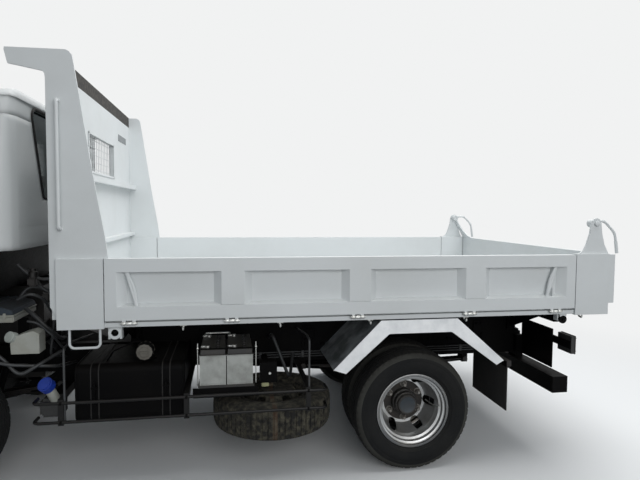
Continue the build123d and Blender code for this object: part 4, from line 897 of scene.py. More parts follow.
flanges = []
for x, z in (BOX_FLANGE, AXLE_FLANGE):
    for step in (0, 0.030):
        flanges.append(turned(SHAFT_FLANGE, (x + step, 0, z - step * 0.17), "X"))
    for across, up in circle(4, 0.052, 45):
        flanges.append(bolt((x + 0.048, across, z + up), 0.015, "X"))
piece("propshaft_flanges", cast_iron, flanges)
cover = [bolt((REAR_AXLE + across, 0.072, AXLE_Z + up), 0.016) for across, up in circle(12, 0.148)]
breather = [(0, 0), (0.008, 0), (0.008, 0.025), (0.012, 0.027), (0.012, 0.038), (0, 0.040)]
cover += [turned([(0.062, 0), (0.080, 0.0), (0.080, 0.016), (0.062, 0.018)],
                 (REAR_AXLE - 0.222, 0, AXLE_Z + 0.01), "X"),
          turned(breather, (REAR_AXLE + 0.02, -0.25, AXLE_Z + 0.060), "Z", sides=16)]
piece("axle_housing_bolts", cast_iron, cover)
bands = []
for x, r, wide in BANDS:
    band = [(r - 0.006, 0), (r, 0.001), (r, wide - 0.001), (r - 0.006, wide)]
    bands += [turned(band, (x, EXHAUST_Y, EXHAUST_Z), "X"),
              bolt((x + wide / 2, EXHAUST_Y, EXHAUST_Z - r), 0.012, "Z", -1)]
piece("exhaust_bands", zinc, bands)

# %% [markdown]
# The hoist is a hydraulic ram: a barrel with a screwed gland nut, a wiper seal, and a hose union
# near its foot. Both ends turn on pins.

# %% Hoist fittings
PIVOT = Vector((BED + 0.30, 0, 0.66))
EYE = Vector((BED + 1.70, 0, 0.898))
HOIST_RIB = [(0.067, 0), (0.0715, 0.002), (0.0715, 0.010), (0.067, 0.012)]
GLAND = [(0.0368, 0.0), (0.072, 0.0), (0.0735, 0.004), (0.0735, 0.040), (0.066, 0.047),
         (0.0368, 0.047)]
way = (EYE - PIVOT).normalized()
tilt = Matrix.Rotation(-math.atan2(way.z, way.x), 4, "Y")


def along_hoist(profile, distance):
    """A form turned about the hoist's own axis, at a distance from the barrel's pivot."""
    form = turned(profile, axis="X")
    placed = Matrix.Translation(PIVOT + way * distance) @ tilt
    bmesh.ops.transform(form, matrix=placed, verts=form.verts)
    return form


def beside(distance, out, back=0.0):
    """A place beside the hoist, out from its axis."""
    return PIVOT + way * distance + Vector((-back, out, 0))


forms = [along_hoist(GLAND, 1.040), along_hoist(HOIST_RIB, 0.10), along_hoist(HOIST_RIB, 0.55),
         pipe([beside(0.16, 0.066), beside(0.16, 0.100)], 0.014),
         pipe([beside(0.16, 0.095), beside(0.16, 0.098, 0.01), beside(0.06, 0.098)], 0.009)]
piece("hoist_gland", chassis_black, forms, "hoist_cylinder")
eye_cap = [(0.0, 0), (0.024, 0), (0.024, 0.008), (0.018, 0.012), (0, 0.012)]
piece("hoist_eye_pin", cast_iron,
      [outward(eye_cap, (EYE.x, side * 0.035, EYE.z), side) for _, side in SIDES], "hoist_ram")

# %% [markdown]
# The bed's sides drop on hinges along the sill. Each has a zinc-plated barrel on the bed between
# two on the gate, with a peened pin through all three. The barrels on the bed ride the bed and
# the others ride the gate, so that the hinge still reads as one when the gate hangs down.

# %% Gate hinges and rope hooks
HINGES = (BED + 0.372, BED + 0.931, BED + 1.667, REAR - 0.953, REAR - 0.371)
HINGE_Z = 1.007
ROPE_HOOKS = (BED + 0.66, BED + 1.208, BED + 1.748, BED + 2.358, BED + 3.15)
HOOK_LINE = ((1.060, 0.986), (1.060, 0.966), (1.091, 0.960), (1.093, 0.976))


def barrel(low, high, y):
    """One barrel of a hinge, between two places along the sill."""
    ring = [(0, low), (0.0092, low), (0.0098, low + 0.001), (0.0098, high - 0.001),
            (0.0092, high), (0, high)]
    return turned(ring, (0, y, HINGE_Z), "X", sides=20)


def hinge_row(word, side):
    """The bed's barrels and pins, and the gate's barrels, along one sill."""
    y = side * HALF_BODY
    fixed, moving, pins = [], [], []
    for x in HINGES:
        fixed.append(barrel(x - 0.0146, x + 0.0146, y))
        moving += [barrel(x + near, x + near + 0.0196, y) for near in (-0.0370, 0.0174)]
        for end in (-1, 1):
            head = [(0.0, 0), (0.0078, 0), (0.0070, end * 0.004), (0.0, end * 0.005)]
            pins.append(turned(head, (x + end * 0.040, y, HINGE_Z), "X", sides=16))
    piece("sill_hinge_barrels_" + word, zinc, fixed + pins, "bed")
    piece("gate_hinge_barrels_" + word, zinc, moving, word + "_gate")


def hook_row(word, side):
    """Bent rod hooks under the sill, each on its small plate."""
    hooks = []
    for x in ROPE_HOOKS:
        rod = [(x, side * y, z) for y, z in HOOK_LINE]
        hooks += [pipe(rod, 0.0055, sides=10, bend=2.0),
                  slab(*sided(side, (x - 0.018, 1.052, 0.981), (x + 0.018, 1.084, 0.9852)), 0.001)]
    piece("rope_hooks_" + word, zinc, hooks, "bed")


# %% [markdown]
# Near each end of a side gate, a bent rod lever draws its latch down over the sill. The rear one
# has a second, shorter leg. They are painted with the gate and hang down with it.

# %% Gate levers
LEVER_Y = 1.084
FRONT_LEVER, REAR_LEVER = (BED + 0.357, BED + 0.412), (REAR - 0.368, REAR - 0.427)


def lever(side, top_x, foot_x):
    """A bent lever from its bracket at the top to its foot on the gate's lower edge."""
    back = 0.035 if foot_x > top_x else -0.035
    rod = sided(side, (top_x - back, 1.078, 1.308), (top_x, LEVER_Y, 1.302),
                ((top_x + foot_x) / 2 + back * 0.35, LEVER_Y, 1.205), (foot_x, LEVER_Y, 1.100))
    return [pipe(rod, 0.0102),
            slab(*sided(side, (foot_x - 0.016, 1.062, 1.094), (foot_x + 0.016, 1.098, 1.104)))]


for word, side in SIDES:
    hinge_row(word, side)
    hook_row(word, side)
    fork = REAR_LEVER[0] + (REAR_LEVER[1] - REAR_LEVER[0]) * 0.55
    leg = sided(side, (fork, LEVER_Y, 1.186), (fork + 0.012, LEVER_Y, 1.150),
                (fork + 0.014, LEVER_Y, 1.100))
    locks = lever(side, *FRONT_LEVER) + lever(side, *REAR_LEVER) + [pipe(leg, 0.008, sides=12)]
    piece("gate_levers_" + word, bed_enamel, locks, word + "_gate")

# %% [markdown]
# The headboard carries a bare grey plate where a notice would sit, and welds run up both edges.
# A weld bead is a pipe with a slow ripple: small, but it is what tells sheet steel from card.

# %% Label plate and weld beads
RIPPLE = 0.012              # length of one ripple of the bead

piece("bare_label", label_grey,
      [slab((BED, 0.572, 2.205), (BED + 0.0016, 0.899, 2.261), 0.0005)], "bed")
welds = []
for _, side in SIDES:
    inner = side * 1.068
    for low, high in ((1.06, 1.36), (1.43, 1.80), (1.86, 2.36)):
        bead = [(BED + 0.002, inner - side * 0.0012 * (k % 2), low + k * RIPPLE)
                for k in range(int((high - low) / RIPPLE))]
        welds.append(pipe(bead, 0.004, sides=8, bend=0.5))
    for start, end, y, z in ((BED + 0.004, BED + 0.20, 1.0845, 1.3655),
                             (REAR - 0.20, REAR - 0.03, 1.0875, 1.3705)):
        welds.append(pipe([(start, side * y, z), (end, side * y, z)], 0.0035, sides=8))
    welds.append(pipe([(BED - 0.002, inner - side * 0.002, z) for z in (1.07, 1.08)], 0.004,
                      sides=8))
piece("weld_beads", bed_enamel, welds, "bed")

# %% [markdown]
# A load that slides forward must not break the cab's rear window, so the headboard's own window
# has a guard of welded wire, painted white with the bed, in a raised frame.

# %% Window guard
GUARD_Y, GUARD_LOW, GUARD_TOP = 0.384, 1.875, 2.150
FRAME_WIDE = 0.016
WIRE_PITCH = 0.050

guard = []
for low_y, high_y, low_z, high_z in ((-GUARD_Y, GUARD_Y, GUARD_TOP - FRAME_WIDE, GUARD_TOP),
                                     (-GUARD_Y, GUARD_Y, GUARD_LOW, GUARD_LOW + FRAME_WIDE),
                                     (-GUARD_Y, -GUARD_Y + FRAME_WIDE, GUARD_LOW, GUARD_TOP),
                                     (GUARD_Y - FRAME_WIDE, GUARD_Y, GUARD_LOW, GUARD_TOP)):
    guard.append(slab((BED, low_y, low_z), (BED + 0.006, high_y, high_z), 0.0015))
for k in range(15):
    y = -0.35 + WIRE_PITCH * k
    guard.append(pipe([(BED - 0.0150, y, 1.884), (BED - 0.0150, y, 2.141)], 0.0026, sides=6))
for k in range(5):
    z = 1.912 + WIRE_PITCH * k
    guard.append(pipe([(BED - 0.0185, -0.371, z), (BED - 0.0185, 0.371, z)], 0.0022, sides=6))
piece("window_guard", bed_enamel, guard, "bed")

# %% [markdown]
# The tailgate swings on two pins whose round heads show on the rear posts. Its bent levers end
# in sleeves for the hand, and they ride on the gate, so they swing out with it.

# %% Tailgate pins and levers
GATE_LEVER_Y = 1.038

heads, rods, sleeves = [], [], []
for _, side in SIDES:
    head = [(0, 0), (0.0165, 0), (0.0165, 0.002), (0.012, 0.0045), (0, 0.0045)]
    heads.append(outward(head, (REAR - 0.093, side * 1.094, 1.564), side, sides=24))
    rod = sided(side, (2.500, GATE_LEVER_Y, 1.576), (2.572, GATE_LEVER_Y, 1.582),
                (2.654, GATE_LEVER_Y, 1.502), (2.6765, GATE_LEVER_Y, 1.370))
    rods.append(pipe(rod, 0.0082, bend=4))
    sleeve = sided(side, (2.6632, GATE_LEVER_Y, 1.448), (2.6745, GATE_LEVER_Y, 1.370))
    sleeves.append(pipe(sleeve, 0.0100, sides=16))
piece("tailgate_pin_heads", bed_enamel, heads, "bed")
piece("tailgate_lever_paint", bed_enamel, rods, "tail_gate")
piece("tailgate_lever_sleeves", bed_enamel, sleeves, "tail_gate", slot="white_plastic")

# %% [markdown]
# The bed rests in seats near its corners. The rear ones have a tongue that drops between two
# cheeks, the front ones a turned ring, and bolts hold their lower halves to the subframe.

# %% Bed seats
tongues, rings, seat_bolts = [], [], []
for _, side in SIDES:
    tongue = [(2.246, 1.004), (2.302, 1.004), (2.297, 0.968), (2.286, 0.956), (2.262, 0.956),
              (2.251, 0.968)]
    tongues.append(plate(tongue, 0.003, "Y", side * 1.0762, 0.001))
    ring = [(0.0195, 0), (0.034, 0), (0.036, 0.002), (0.036, 0.005), (0.0195, 0.005)]
    rings.append(outward(ring, (BED + 0.291, side * 1.0645, 0.950), side, sides=40))
    spot = (REAR - 0.301, side * 1.074, 0.948)
    washer = [(0, 0), (0.0265, 0), (0.0265, 0.002), (0.012, 0.004), (0, 0.004)]
    seat_bolts += [outward(washer, spot, side, sides=24), bolt(spot, 0.018, "Y", side)]
    for x in (BED + 0.291, REAR - 0.301):
        for dx in (-0.012, 0.025):
            for dz in (-0.03, 0.012):
                seat_bolts.append(bolt((x + dx, side * 0.447, 0.80 + dz), 0.016, "Y", side))
piece("rear_seat_tongues", bed_enamel, tongues, "bed")
piece("seat_rings", bed_enamel, rings, "bed")
piece("seat_bolts", chassis_black, seat_bolts)

# %% [markdown]
# The mudguards are bare aluminium sheet with a rolled hem that stiffens the cut edge. Bolts with
# broad washers hold them from above, a steel strip clamps each rubber flap along its top, and
# the side guards hang on rods from the frame.

# %% Mudguard hems, flap clamps and side guard fittings
FOLD = ((-0.530, 0.688), (-0.240, 0.978), (0.248, 0.978), (0.562, 0.703))
FLANGE = ((-0.457, 0.664), (-0.189, 0.899), (0.213, 0.899), (0.518, 0.678))
HANGER = ((1.050, 0.455), (1.050, 0.866), (0.950, 0.874), (0.428, 0.800))
FLAP_X = REAR_AXLE + 0.595

hems, rivets, clamps, guard_bolts, hangers = [], [], [], [], []
for _, side in SIDES:
    hems += [pipe([(REAR_AXLE + x, side * 1.086, z) for x, z in FLANGE], 0.0048, sides=10, bend=2),
             pipe([(REAR_AXLE + x, side * 0.622, z - 0.003) for x, z in FOLD], 0.0045, sides=10,
                  bend=2)]
    for x in (-0.225, 0.175):
        for y in (0.66, 0.98):
            rivets.append(bolt((REAR_AXLE + x + 0.03, side * y, 0.978), 0.014, "Z"))
    clamps.append(slab(*sided(side, (FLAP_X - 0.005, 0.632, 0.652), (FLAP_X, 1.069, 0.686)), 0.001))
    for k in range(5):
        clamps.append(bolt((FLAP_X - 0.005, side * (0.66 + k * 0.095), 0.669), 0.014, "X", -1))
    for x in (BED, BED + 0.6735, BED + 1.38):
        guard_bolts += [bolt((x, side * 1.064, z), 0.016, "Y", side) for z in (0.457, 0.565)]
    for x in (BED + 0.018, BED + 1.385):
        hangers.append(pipe([(x, side * y, z) for y, z in HANGER], 0.0065, sides=12))
piece("guard_hangers", pipe_grey, hangers)
piece("mudguard_hems", bare_aluminium, hems)
piece("mudguard_rivets", zinc, rivets)
piece("flap_clamps", chassis_black, clamps)
piece("side_guard_bolts", chassis_black, guard_bolts)

# %% [markdown]
# A rear lamp is three lenses side by side in one frame: amber, red and clear, from the outside
# in. They are acrylic, each a few millimetres proud of the frame, with a screw at each corner.

# %% Rear lamps and the blank rear plate
LAMP_FACE = REAR - 0.176
LAMP_LOW, LAMP_TOP = 0.714, 0.815

reds, ambers, whites, screws, frames = [], [], [], [], []
for _, side in SIDES:
    for shelf, low, high in ((ambers, 0.990, 1.030), (reds, 0.937, 0.987), (whites, 0.898, 0.934)):
        shelf.append(slab(*sided(side, (LAMP_FACE, low, LAMP_LOW),
                                 (LAMP_FACE + 0.009, high, LAMP_TOP)), 0.003))
    screw = [(0, 0), (0.005, 0), (0.004, 0.003), (0, 0.003)]
    screws += [turned(screw, (LAMP_FACE + 0.009, side * y, z), "X", sides=12)
               for y in (0.905, 1.024) for z in (LAMP_LOW + 0.008, LAMP_TOP - 0.008)]
    frames.append(slab(*sided(side, (LAMP_FACE - 0.006, 0.889, LAMP_LOW - 0.010),
                              (LAMP_FACE + 0.002, 1.038, LAMP_TOP + 0.010))))
    reflector = [(0, 0), (0.042, 0), (0.042, 0.005), (0.038, 0.008), (0, 0.008)]
    reds.append(turned(reflector, (REAR - 0.170, side * 0.86, 0.478), "X"))
piece("red_lenses", red_lens, reds)
piece("amber_lenses", amber_lens, ambers)
piece("reversing_lenses", clear_lens, whites)
piece("lamp_frames", moulded_black, frames)
piece("lamp_screws", zinc, screws)
PLATE_X = REAR - 0.206
piece("blank_rear_plate", plate_blank,
      [slab((PLATE_X, -0.815, 0.600), (PLATE_X + 0.003, -0.485, 0.765), 0.001)])
plate_lamp = [slab((PLATE_X, -0.700, 0.775), (PLATE_X + 0.026, -0.600, 0.800), 0.004)]
plate_lamp += [bolt((PLATE_X + 0.003, y, z), 0.010, "X")
               for y in (-0.78, -0.52) for z in (0.62, 0.745)]
piece("plate_lamp", moulded_black, plate_lamp)

# %% [markdown]
# A headlamp is a clear moulded cover over silvered bowls. The CAD keeps it as one block, which
# this cell replaces: housing, two bowls with bulbs and a fluted cover. Flutes are real ridges,
# because a cover is only seen by how it bends the light behind it.

# %% Headlamps
LAMP_LINE = [(0.004, 0.644), (0.004, 0.700), (0.016, 0.850), (0.0325, 0.896)]
FLUTES = 8                  # ridges and hollows on each stretch of that line
BOWL = [(0.053, 0.030), (0.0505, 0.034), (0.046, 0.055), (0.034, 0.075), (0.016, 0.086), (0, 0.088)]
BULB = [(0, 0.050), (0.009, 0.054), (0.011, 0.064), (0.008, 0.080), (0.008, 0.088)]
HOUSING = (                 # two corners of each wall, from the bumper's front
    ((0.092, 0.640, 0.490), (0.100, 0.900, 0.610)), ((0.010, 0.640, 0.604), (0.100, 0.900, 0.610)),
    ((0.010, 0.640, 0.490), (0.100, 0.900, 0.496)), ((0.006, 0.640, 0.490), (0.100, 0.646, 0.610)),
    ((0.034, 0.894, 0.490), (0.100, 0.900, 0.610)), ((0.034, 0.768, 0.496), (0.092, 0.772, 0.604)),
)


def fluted_cover(side):
    """The clear cover, whose outside follows LAMP_LINE in fine ridges."""
    outline = []
    for (x0, y0), (x1, y1) in zip(LAMP_LINE, LAMP_LINE[1:]):
        for k in range(FLUTES):
            share = k / FLUTES
            ridge = 0.0012 if k % 2 else 0.0
            outline.append((FRONT + x0 + (x1 - x0) * share + ridge,
                            side * (y0 + (y1 - y0) * share)))
    outline.append((FRONT + LAMP_LINE[-1][0], side * LAMP_LINE[-1][1]))
    outline += [(FRONT + x + 0.006, side * y) for x, y in reversed(LAMP_LINE)]
    return plate(outline, 0.112, "Z", 0.494, 0.0008)


covers, bowls, housing = [], [], []
for _, side in SIDES:
    covers.append(fluted_cover(side))
    for y in (0.712, 0.826):
        bowls += [turned(BOWL, (FRONT, side * y, 0.55), "X"),
                  turned(BULB, (FRONT, side * y, 0.55), "X", sides=20)]
    for low, high in HOUSING:
        housing.append(slab(*[(FRONT + x, side * y, z) for x, y, z in (low, high)], 0.001))
cover = piece("headlamp_covers", clear_lens, covers)
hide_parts("headlamps")
piece("headlamp_bowls", silvered, bowls)
piece("headlamp_housings", moulded_black, housing)

# %% [markdown]
# The cab's front curves a little in plan, so the bars round the grille are cut plates that follow
# that line. Indicators stand in shallow frames beside it, and the number plate is left blank.

# %% Grille surround, indicators and the blank front plate
GRILLE_Y = 0.655


def front_bar(low_z, high_z, reach):
    """A bar across the cab's front that follows its plan."""
    line = [(FRONT + reach, 0.30), (FRONT + reach + 0.011, GRILLE_Y)]
    line = [(x, -y) for x, y in reversed(line)] + line
    outline = line + [(x + 0.02, y) for x, y in reversed(line)]
    return plate(outline, high_z - low_z, "Z", low_z, 0.003)


surround = [front_bar(1.150, 1.170, 0.016), front_bar(0.920, 0.940, 0.011)]
indicators, indicator_frames = [], []
for _, side in SIDES:
    surround.append(slab(*sided(side, (FRONT + 0.018, 0.638, 0.940),
                                (FRONT + 0.040, GRILLE_Y, 1.150)), 0.003))
    indicators.append(slab(*sided(side, (FRONT + 0.026, 0.728, 1.188),
                                  (FRONT + 0.050, 0.802, 1.262)), 0.006))
    indicator_frames.append(slab(*sided(side, (FRONT + 0.031, 0.720, 1.180),
                                        (FRONT + 0.052, 0.810, 1.270)), 0.005))
piece("grille_surround", moulded_black, surround, "cab")
piece("cab_indicators", amber_lens, indicators, "cab")
piece("indicator_frames", moulded_black, indicator_frames, "cab")
piece("blank_front_plate", plate_blank,
      [slab((FRONT + 0.018, -0.165, 0.715), (FRONT + 0.026, 0.165, 0.880), 0.001)], "cab")

# %% [markdown]
# Rubber seals hold the glass, and their black line draws the shape of each window. Each is a pipe
# that follows the window's outline on the cab's leaning skin. The next cell lays them.

# %% Window seals
DOOR_WINDOW = [(-2.330, 1.490), (-1.460, 1.450), (-1.460, 2.020), (-1.500, 2.062), (-2.225, 2.062),
               (-2.330, 1.800)]
SCREEN = [(-0.850, 1.460), (0.850, 1.460), (0.810, 2.100), (0.770, 2.130), (-0.770, 2.130),
          (-0.810, 2.100)]
BACK = [(-0.475, 1.700), (0.475, 1.700), (0.650, 2.200), (0.605, 2.240), (-0.605, 2.240),
        (-0.650, 2.200)]
BACK_X = BED - 0.254


def side_skin(z):
    """How far out the cab's side stands at a height."""
    return HALF_CAB - max(0.0, z - 1.42) * 0.0548


def screen_x(z):
    """Where the windscreen's plane is at a height."""
    return FRONT + 0.035 + (z - 1.41) * 0.3782


def looped(corners):
    """Start and end a loop in the middle of its first side."""
    first = tuple((a + b) / 2 for a, b in zip(corners[0], corners[1]))
    return [first] + list(corners[1:]) + [corners[0], first]


def seal(name, body, spots, radius):
    """A rubber seal along a window's outline."""
    piece(name, sheet_rubber, [pipe(spots, radius, sides=10)], body)


# %% [markdown]
# A door carries its handle with a lock, and a trimmed card with an arm rest and a pocket inside.
# The mirror's glass stands on the cab. Without such parts a cab looks like a toy.

# %% Door handles, mirrors and door cards
GRIP = (BED - 0.780, BED - 0.665)
LOCK = [(0, 0), (0.011, 0), (0.011, 0.004), (0.009, 0.006), (0, 0.006)]
MIRROR = [(1.030, 1.580), (1.180, 1.580), (1.190, 1.592), (1.190, 1.868), (1.180, 1.880),
          (1.030, 1.880), (1.020, 1.868), (1.020, 1.592)]
CARD = [(-2.300, 0.905), (-1.400, 0.905), (-1.400, 1.425), (-2.300, 1.425)]

for word, side in SIDES:
    spots = [(x, side * (side_skin(z) + 0.001), z) for x, z in looped(DOOR_WINDOW)]
    seal("door_seal_" + word, word + "_door", spots, 0.007)
    base = slab(*sided(side, (GRIP[0] - 0.012, 0.999, 1.262), (GRIP[1] + 0.012, 1.004, 1.318)))
    rod = sided(side, (GRIP[0], 1.000, 1.296), (GRIP[0] + 0.010, 1.024, 1.296),
                (GRIP[1] - 0.010, 1.024, 1.296), (GRIP[1], 1.000, 1.296))
    lock = outward(LOCK, (GRIP[0] - 0.030, side * 1.000, 1.285), side, sides=24)
    piece("door_handle_" + word, moulded_black, [base, pipe(rod, 0.008), lock], word + "_door")
    glass = plate([(side * y, z) for y, z in MIRROR], 0.003, "X", FRONT + 0.080, 0.001)
    piece("mirror_glass_" + word, silvered, [glass], "cab")
    piece("door_card_" + word, lining,
          [plate(CARD, -side * 0.006, "Y", side * 0.955, 0.002),
           slab(*sided(side, (-2.10, 0.920, 1.215), (-1.62, 0.950, 1.255)), 0.012),
           slab(*sided(side, (-2.20, 0.930, 0.930), (-1.60, 0.950, 1.040)), 0.010)], word + "_door")
seal("screen_seal", "cab", [(screen_x(z) - 0.001, y, z) for y, z in looped(SCREEN)], 0.009)
seal("back_window_seal", "cab", [(BACK_X, y, z) for y, z in looped(BACK)], 0.009)

# %% [markdown]
# A wiper is a cranked arm on a domed spindle, and its blade lies close to the leaning glass. All
# its places are worked out from the windscreen's plane. Seven low ribs on each cab step give a
# boot its hold.

# %% Wipers and step treads
BACKWARD = Vector((-0.010, 0, 0))

wipers = []
for pivot_y, tip_y in ((-0.42, -0.02), (0.22, 0.62)):
    base = Vector((screen_x(1.435) - 0.004, pivot_y, 1.435))
    middle = Vector((screen_x(1.555) - 0.022, (pivot_y + tip_y) / 2 + 0.05, 1.555))
    foot = Vector((screen_x(1.500) - 0.014, pivot_y + 0.05, 1.500))
    tip = Vector((screen_x(1.600) - 0.014, tip_y + 0.14, 1.600))
    wipers += [turned([(0, -0.012), (0.018, -0.012), (0.016, -0.022), (0, -0.024)],
                      base + Vector((0.012, 0, 0)), "X", sides=20),
               pipe([base, (base + middle) / 2 + Vector((-0.012, 0, 0)), middle], 0.006, sides=10),
               pipe([foot, tip], 0.005, sides=8),
               pipe([foot * 0.8 + tip * 0.2 + BACKWARD, foot * 0.2 + tip * 0.8 + BACKWARD], 0.004,
                    sides=8)]
piece("wipers", moulded_black, wipers, "cab")
treads = []
for _, side in SIDES:
    for k in range(7):
        x = FRONT + 0.270 + k * 0.062
        treads.append(slab(*sided(side, (x, 0.965, 0.472), (x + 0.014, 0.775, 0.4765)), 0.001))
piece("step_treads", moulded_black, treads)

# %% [markdown]
# Truck seats are foam in woven cloth, sewn in channels. A rounded block alone looks moulded, so
# its cover is blown up by a short Cloth run with a little pressure: the seams and the base stay
# sewn down, the panels between them swell, and no point may go further than a few millimetres.
# The welt, a thin cord sewn round the edge, comes after the run, because it would vanish in it.

# %% The cushion's form and its cover
SWELL = 0.006               # how far the cover may swell
PRESSURE = 4.0
CLOTH_FRAMES = 20
SEAM_DEPTH, SEAM_WIDTH = 0.012, 0.010
SEWN = 0.008                # points this near a seam are sewn down
BASE = -0.9                 # points below this share of the half height rest on the pan


def rounded(*shares):
    """How far out a point lies in a cube with soft corners, 1 on its surface."""
    return sum(abs(share) ** 6 for share in shares) ** (1 / 6)


def cushion_form(size, crown, channels, cells=26):
    """A foam block: soft corners, a crowned top, and seams pressed in across it."""
    form = bmesh.new()
    bmesh.ops.create_cube(form, size=2)
    bmesh.ops.subdivide_edges(form, edges=form.edges[:], cuts=cells, use_grid_fill=True)
    half = Vector(size) / 2 - Vector((SWELL, SWELL, SWELL)) / 2
    sewn = []
    for spot in form.verts:
        far = rounded(*spot.co)
        a, b, c = (share / far for share in spot.co)
        pull = 1 - 0.05 * (1 - c * c) * (1 if c > BASE else 0)
        lift = crown * (1 - a * a) * (1 - b * b) if c > 0 else 0
        for seam in channels:
            groove = math.exp(-((b * half.y - seam) / SEAM_WIDTH) ** 2)
            lift -= SEAM_DEPTH * groove * max(0.0, c) ** 0.5
        if c < BASE or (c > 0 and any(abs(b * half.y - seam) < SEWN for seam in channels)):
            sewn.append(spot.index)
        spot.co = (a * half.x * pull, b * half.y * pull, c * half.z + lift)
    return swollen(form, sewn)


def swollen(form, sewn):
    """The form after its cover was blown up by Cloth; points in sewn stay, none goes past SWELL."""
    mesh = bpy.data.meshes.new("seat_cover")
    form.to_mesh(mesh)
    cover = bpy.data.objects.new("seat_cover", mesh)
    bpy.context.scene.collection.objects.link(cover)
    cover.vertex_groups.new(name="sewn").add(sewn, 1.0, "REPLACE")
    cloth = cover.modifiers.new("cover", "CLOTH")
    cloth.settings.vertex_group_mass = "sewn"
    cloth.settings.use_pressure = True
    cloth.settings.uniform_pressure_force = PRESSURE
    cloth.settings.effector_weights.gravity = 0
    cloth.point_cache.frame_end = CLOTH_FRAMES
    for frame_number in range(1, CLOTH_FRAMES + 1):
        bpy.context.scene.frame_set(frame_number)
    blown = cover.evaluated_get(bpy.context.evaluated_depsgraph_get()).to_mesh()
    longest = 0.0
    for spot, now in zip(form.verts, blown.vertices):
        move = now.co - spot.co
        longest = max(longest, move.length)
        spot.co += move * min(1.0, SWELL / max(move.length, 1e-9))
    print("seat cover:", len(form.verts), "points, longest move", round(longest * 1000, 1), "mm")
    bpy.data.objects.remove(cover)
    bpy.data.meshes.remove(mesh)
    bpy.context.scene.frame_set(1)
    return form


# %% [markdown]
# A finished cushion is the swollen form with its welt. Each seat's backrest and head rest are
# turned up, so that their crowned faces look forward, and tipped back by seven degrees.

# %% Seats
WELT = 0.0045
WELT_STEPS = 48
BACK_LEAN = math.radians(7.1)
SEAT_Y = {"driver": (0.185, 0.755), "middle": (-0.345, 0.125), "passenger": (-0.795, -0.355)}
CHANNELS = {"driver": (0.09, -0.09), "middle": (0.08, -0.08), "passenger": (0.08, -0.08)}
STEM_Y = (0.47, -0.11, -0.575)      # the head rests' middles


def cushion(name, size, crown, channels, spot, lean, stand=False):
    """A padded piece in the cab: stand turns its crowned face to the front, lean tips it."""
    form = cushion_form(size, crown, channels)
    edge = []
    for ca, sa in circle(WELT_STEPS, 1.0) + circle(1, 1.0):
        far = rounded(ca, sa)
        edge.append((ca / far * (size[0] / 2 - 0.010), sa / far * (size[1] / 2 - 0.010),
                     size[2] / 2 - 0.014))
    join(form, pipe(edge, WELT, sides=8, bend=0.2))
    turned_up = Matrix.Rotation(math.radians(-90), 4, "Y") if stand else Matrix.Identity(4)
    place = Matrix.Translation(spot) @ Matrix.Rotation(lean, 4, "Y") @ turned_up
    bmesh.ops.transform(form, matrix=place, verts=form.verts)
    made = piece(name, seat_cloth, [form], "cab", crease=60)
    return made


for word, (low, high) in SEAT_Y.items():
    wide, middle = high - low, (low + high) / 2
    cushion(word + "_cushion", (0.430, wide, 0.112), 0.014, CHANNELS[word],
                         (BED - 0.870, middle, 1.240), math.radians(-2))
    cushion(word + "_backrest", (0.440, wide, 0.080), 0.010, CHANNELS[word],
            (BED - 0.574, middle, 1.545), BACK_LEAN, stand=True)
    cushion(word + "_headrest", (0.125, 0.26, 0.070), 0.008, (), (BED - 0.528, middle, 1.850),
            BACK_LEAN, stand=True)
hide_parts("seats")
stems = [pipe([(BED - 0.545, y + dy, 1.72), (BED - 0.532, y + dy, 1.82)], 0.006, sides=10)
         for y in STEM_Y for dy in (-0.06, 0.06)]
piece("headrest_stems", chrome_rod, stems, "cab")
pans = [slab((BED - 1.085, low + 0.005, 1.1805), (BED - 0.580, high - 0.005, 1.188), 0.003)
        for low, high in SEAT_Y.values()]
piece("seat_pans", moulded_black, pans, "cab")

# %% [markdown]
# Through the glass the eye looks for a driver's place. The steering column stands in a shroud
# with a stalk on each side. The gear lever, with its knob and bellows, and the hand brake rise
# from the floor beside the seat.

# %% Column and levers
COLUMN = Vector((FRONT + 0.49, 0.42, 1.52))
DOWN = Vector((-0.16, 0, -0.14)).normalized()
SHIFT = Vector((BED - 1.230, 0.10, 0.88))       # where the gear lever meets the floor
KNOB_Z = 1.44
KNOB = [(0, -0.028), (0.016, -0.024), (0.026, -0.004), (0.026, 0.008), (0.018, 0.024), (0, 0.030)]
BELLOWS = [(0.055, 0), (0.050, 0.010), (0.040, 0.016), (0.043, 0.026), (0.030, 0.034),
           (0.033, 0.044), (0.014, 0.070), (0, 0.072)]

stalk = COLUMN + DOWN * 0.06
forms = [pipe([COLUMN + DOWN * 0.03, COLUMN + DOWN * 0.17], 0.042, sides=24)]
for hand in (1, -1):
    ends = Vector((0, hand * 0.03, 0)), Vector((0, hand * 0.19, 0.02))
    forms.append(pipe([stalk + end for end in ends], 0.008))
forms += [turned([(0, 0), (0.050, 0), (0.046, 0.012), (0.030, 0.020), (0, 0.022)],
                 COLUMN + Vector((0.002, 0, 0.004)), "Z", sides=32),
          pipe([SHIFT, SHIFT + Vector((0.01, 0, 0.20)), (SHIFT.x - 0.07, SHIFT.y + 0.02, KNOB_Z)],
               0.008),
          turned(KNOB, (SHIFT.x - 0.070, SHIFT.y + 0.02, KNOB_Z + 0.014), "Z", sides=24),
          turned(BELLOWS, SHIFT, "Z", sides=32),
          pipe([(BED - 1.17, 0.02, 0.90), (BED - 1.26, 0.02, 1.16), (BED - 1.34, 0.02, 1.20)],
               0.011),
          pipe([(BED - 1.30, 0.02, 1.179), (BED - 1.36, 0.02, 1.209)], 0.016)]
piece("column_and_levers", moulded_black, forms, "cab")

# %% [markdown]
# Three ribbed pedals hang under the dashboard, a cowl shades the two dials, and sun visors hang
# from short rods behind the windscreen. They are simple forms, because they are only seen
# through glass.

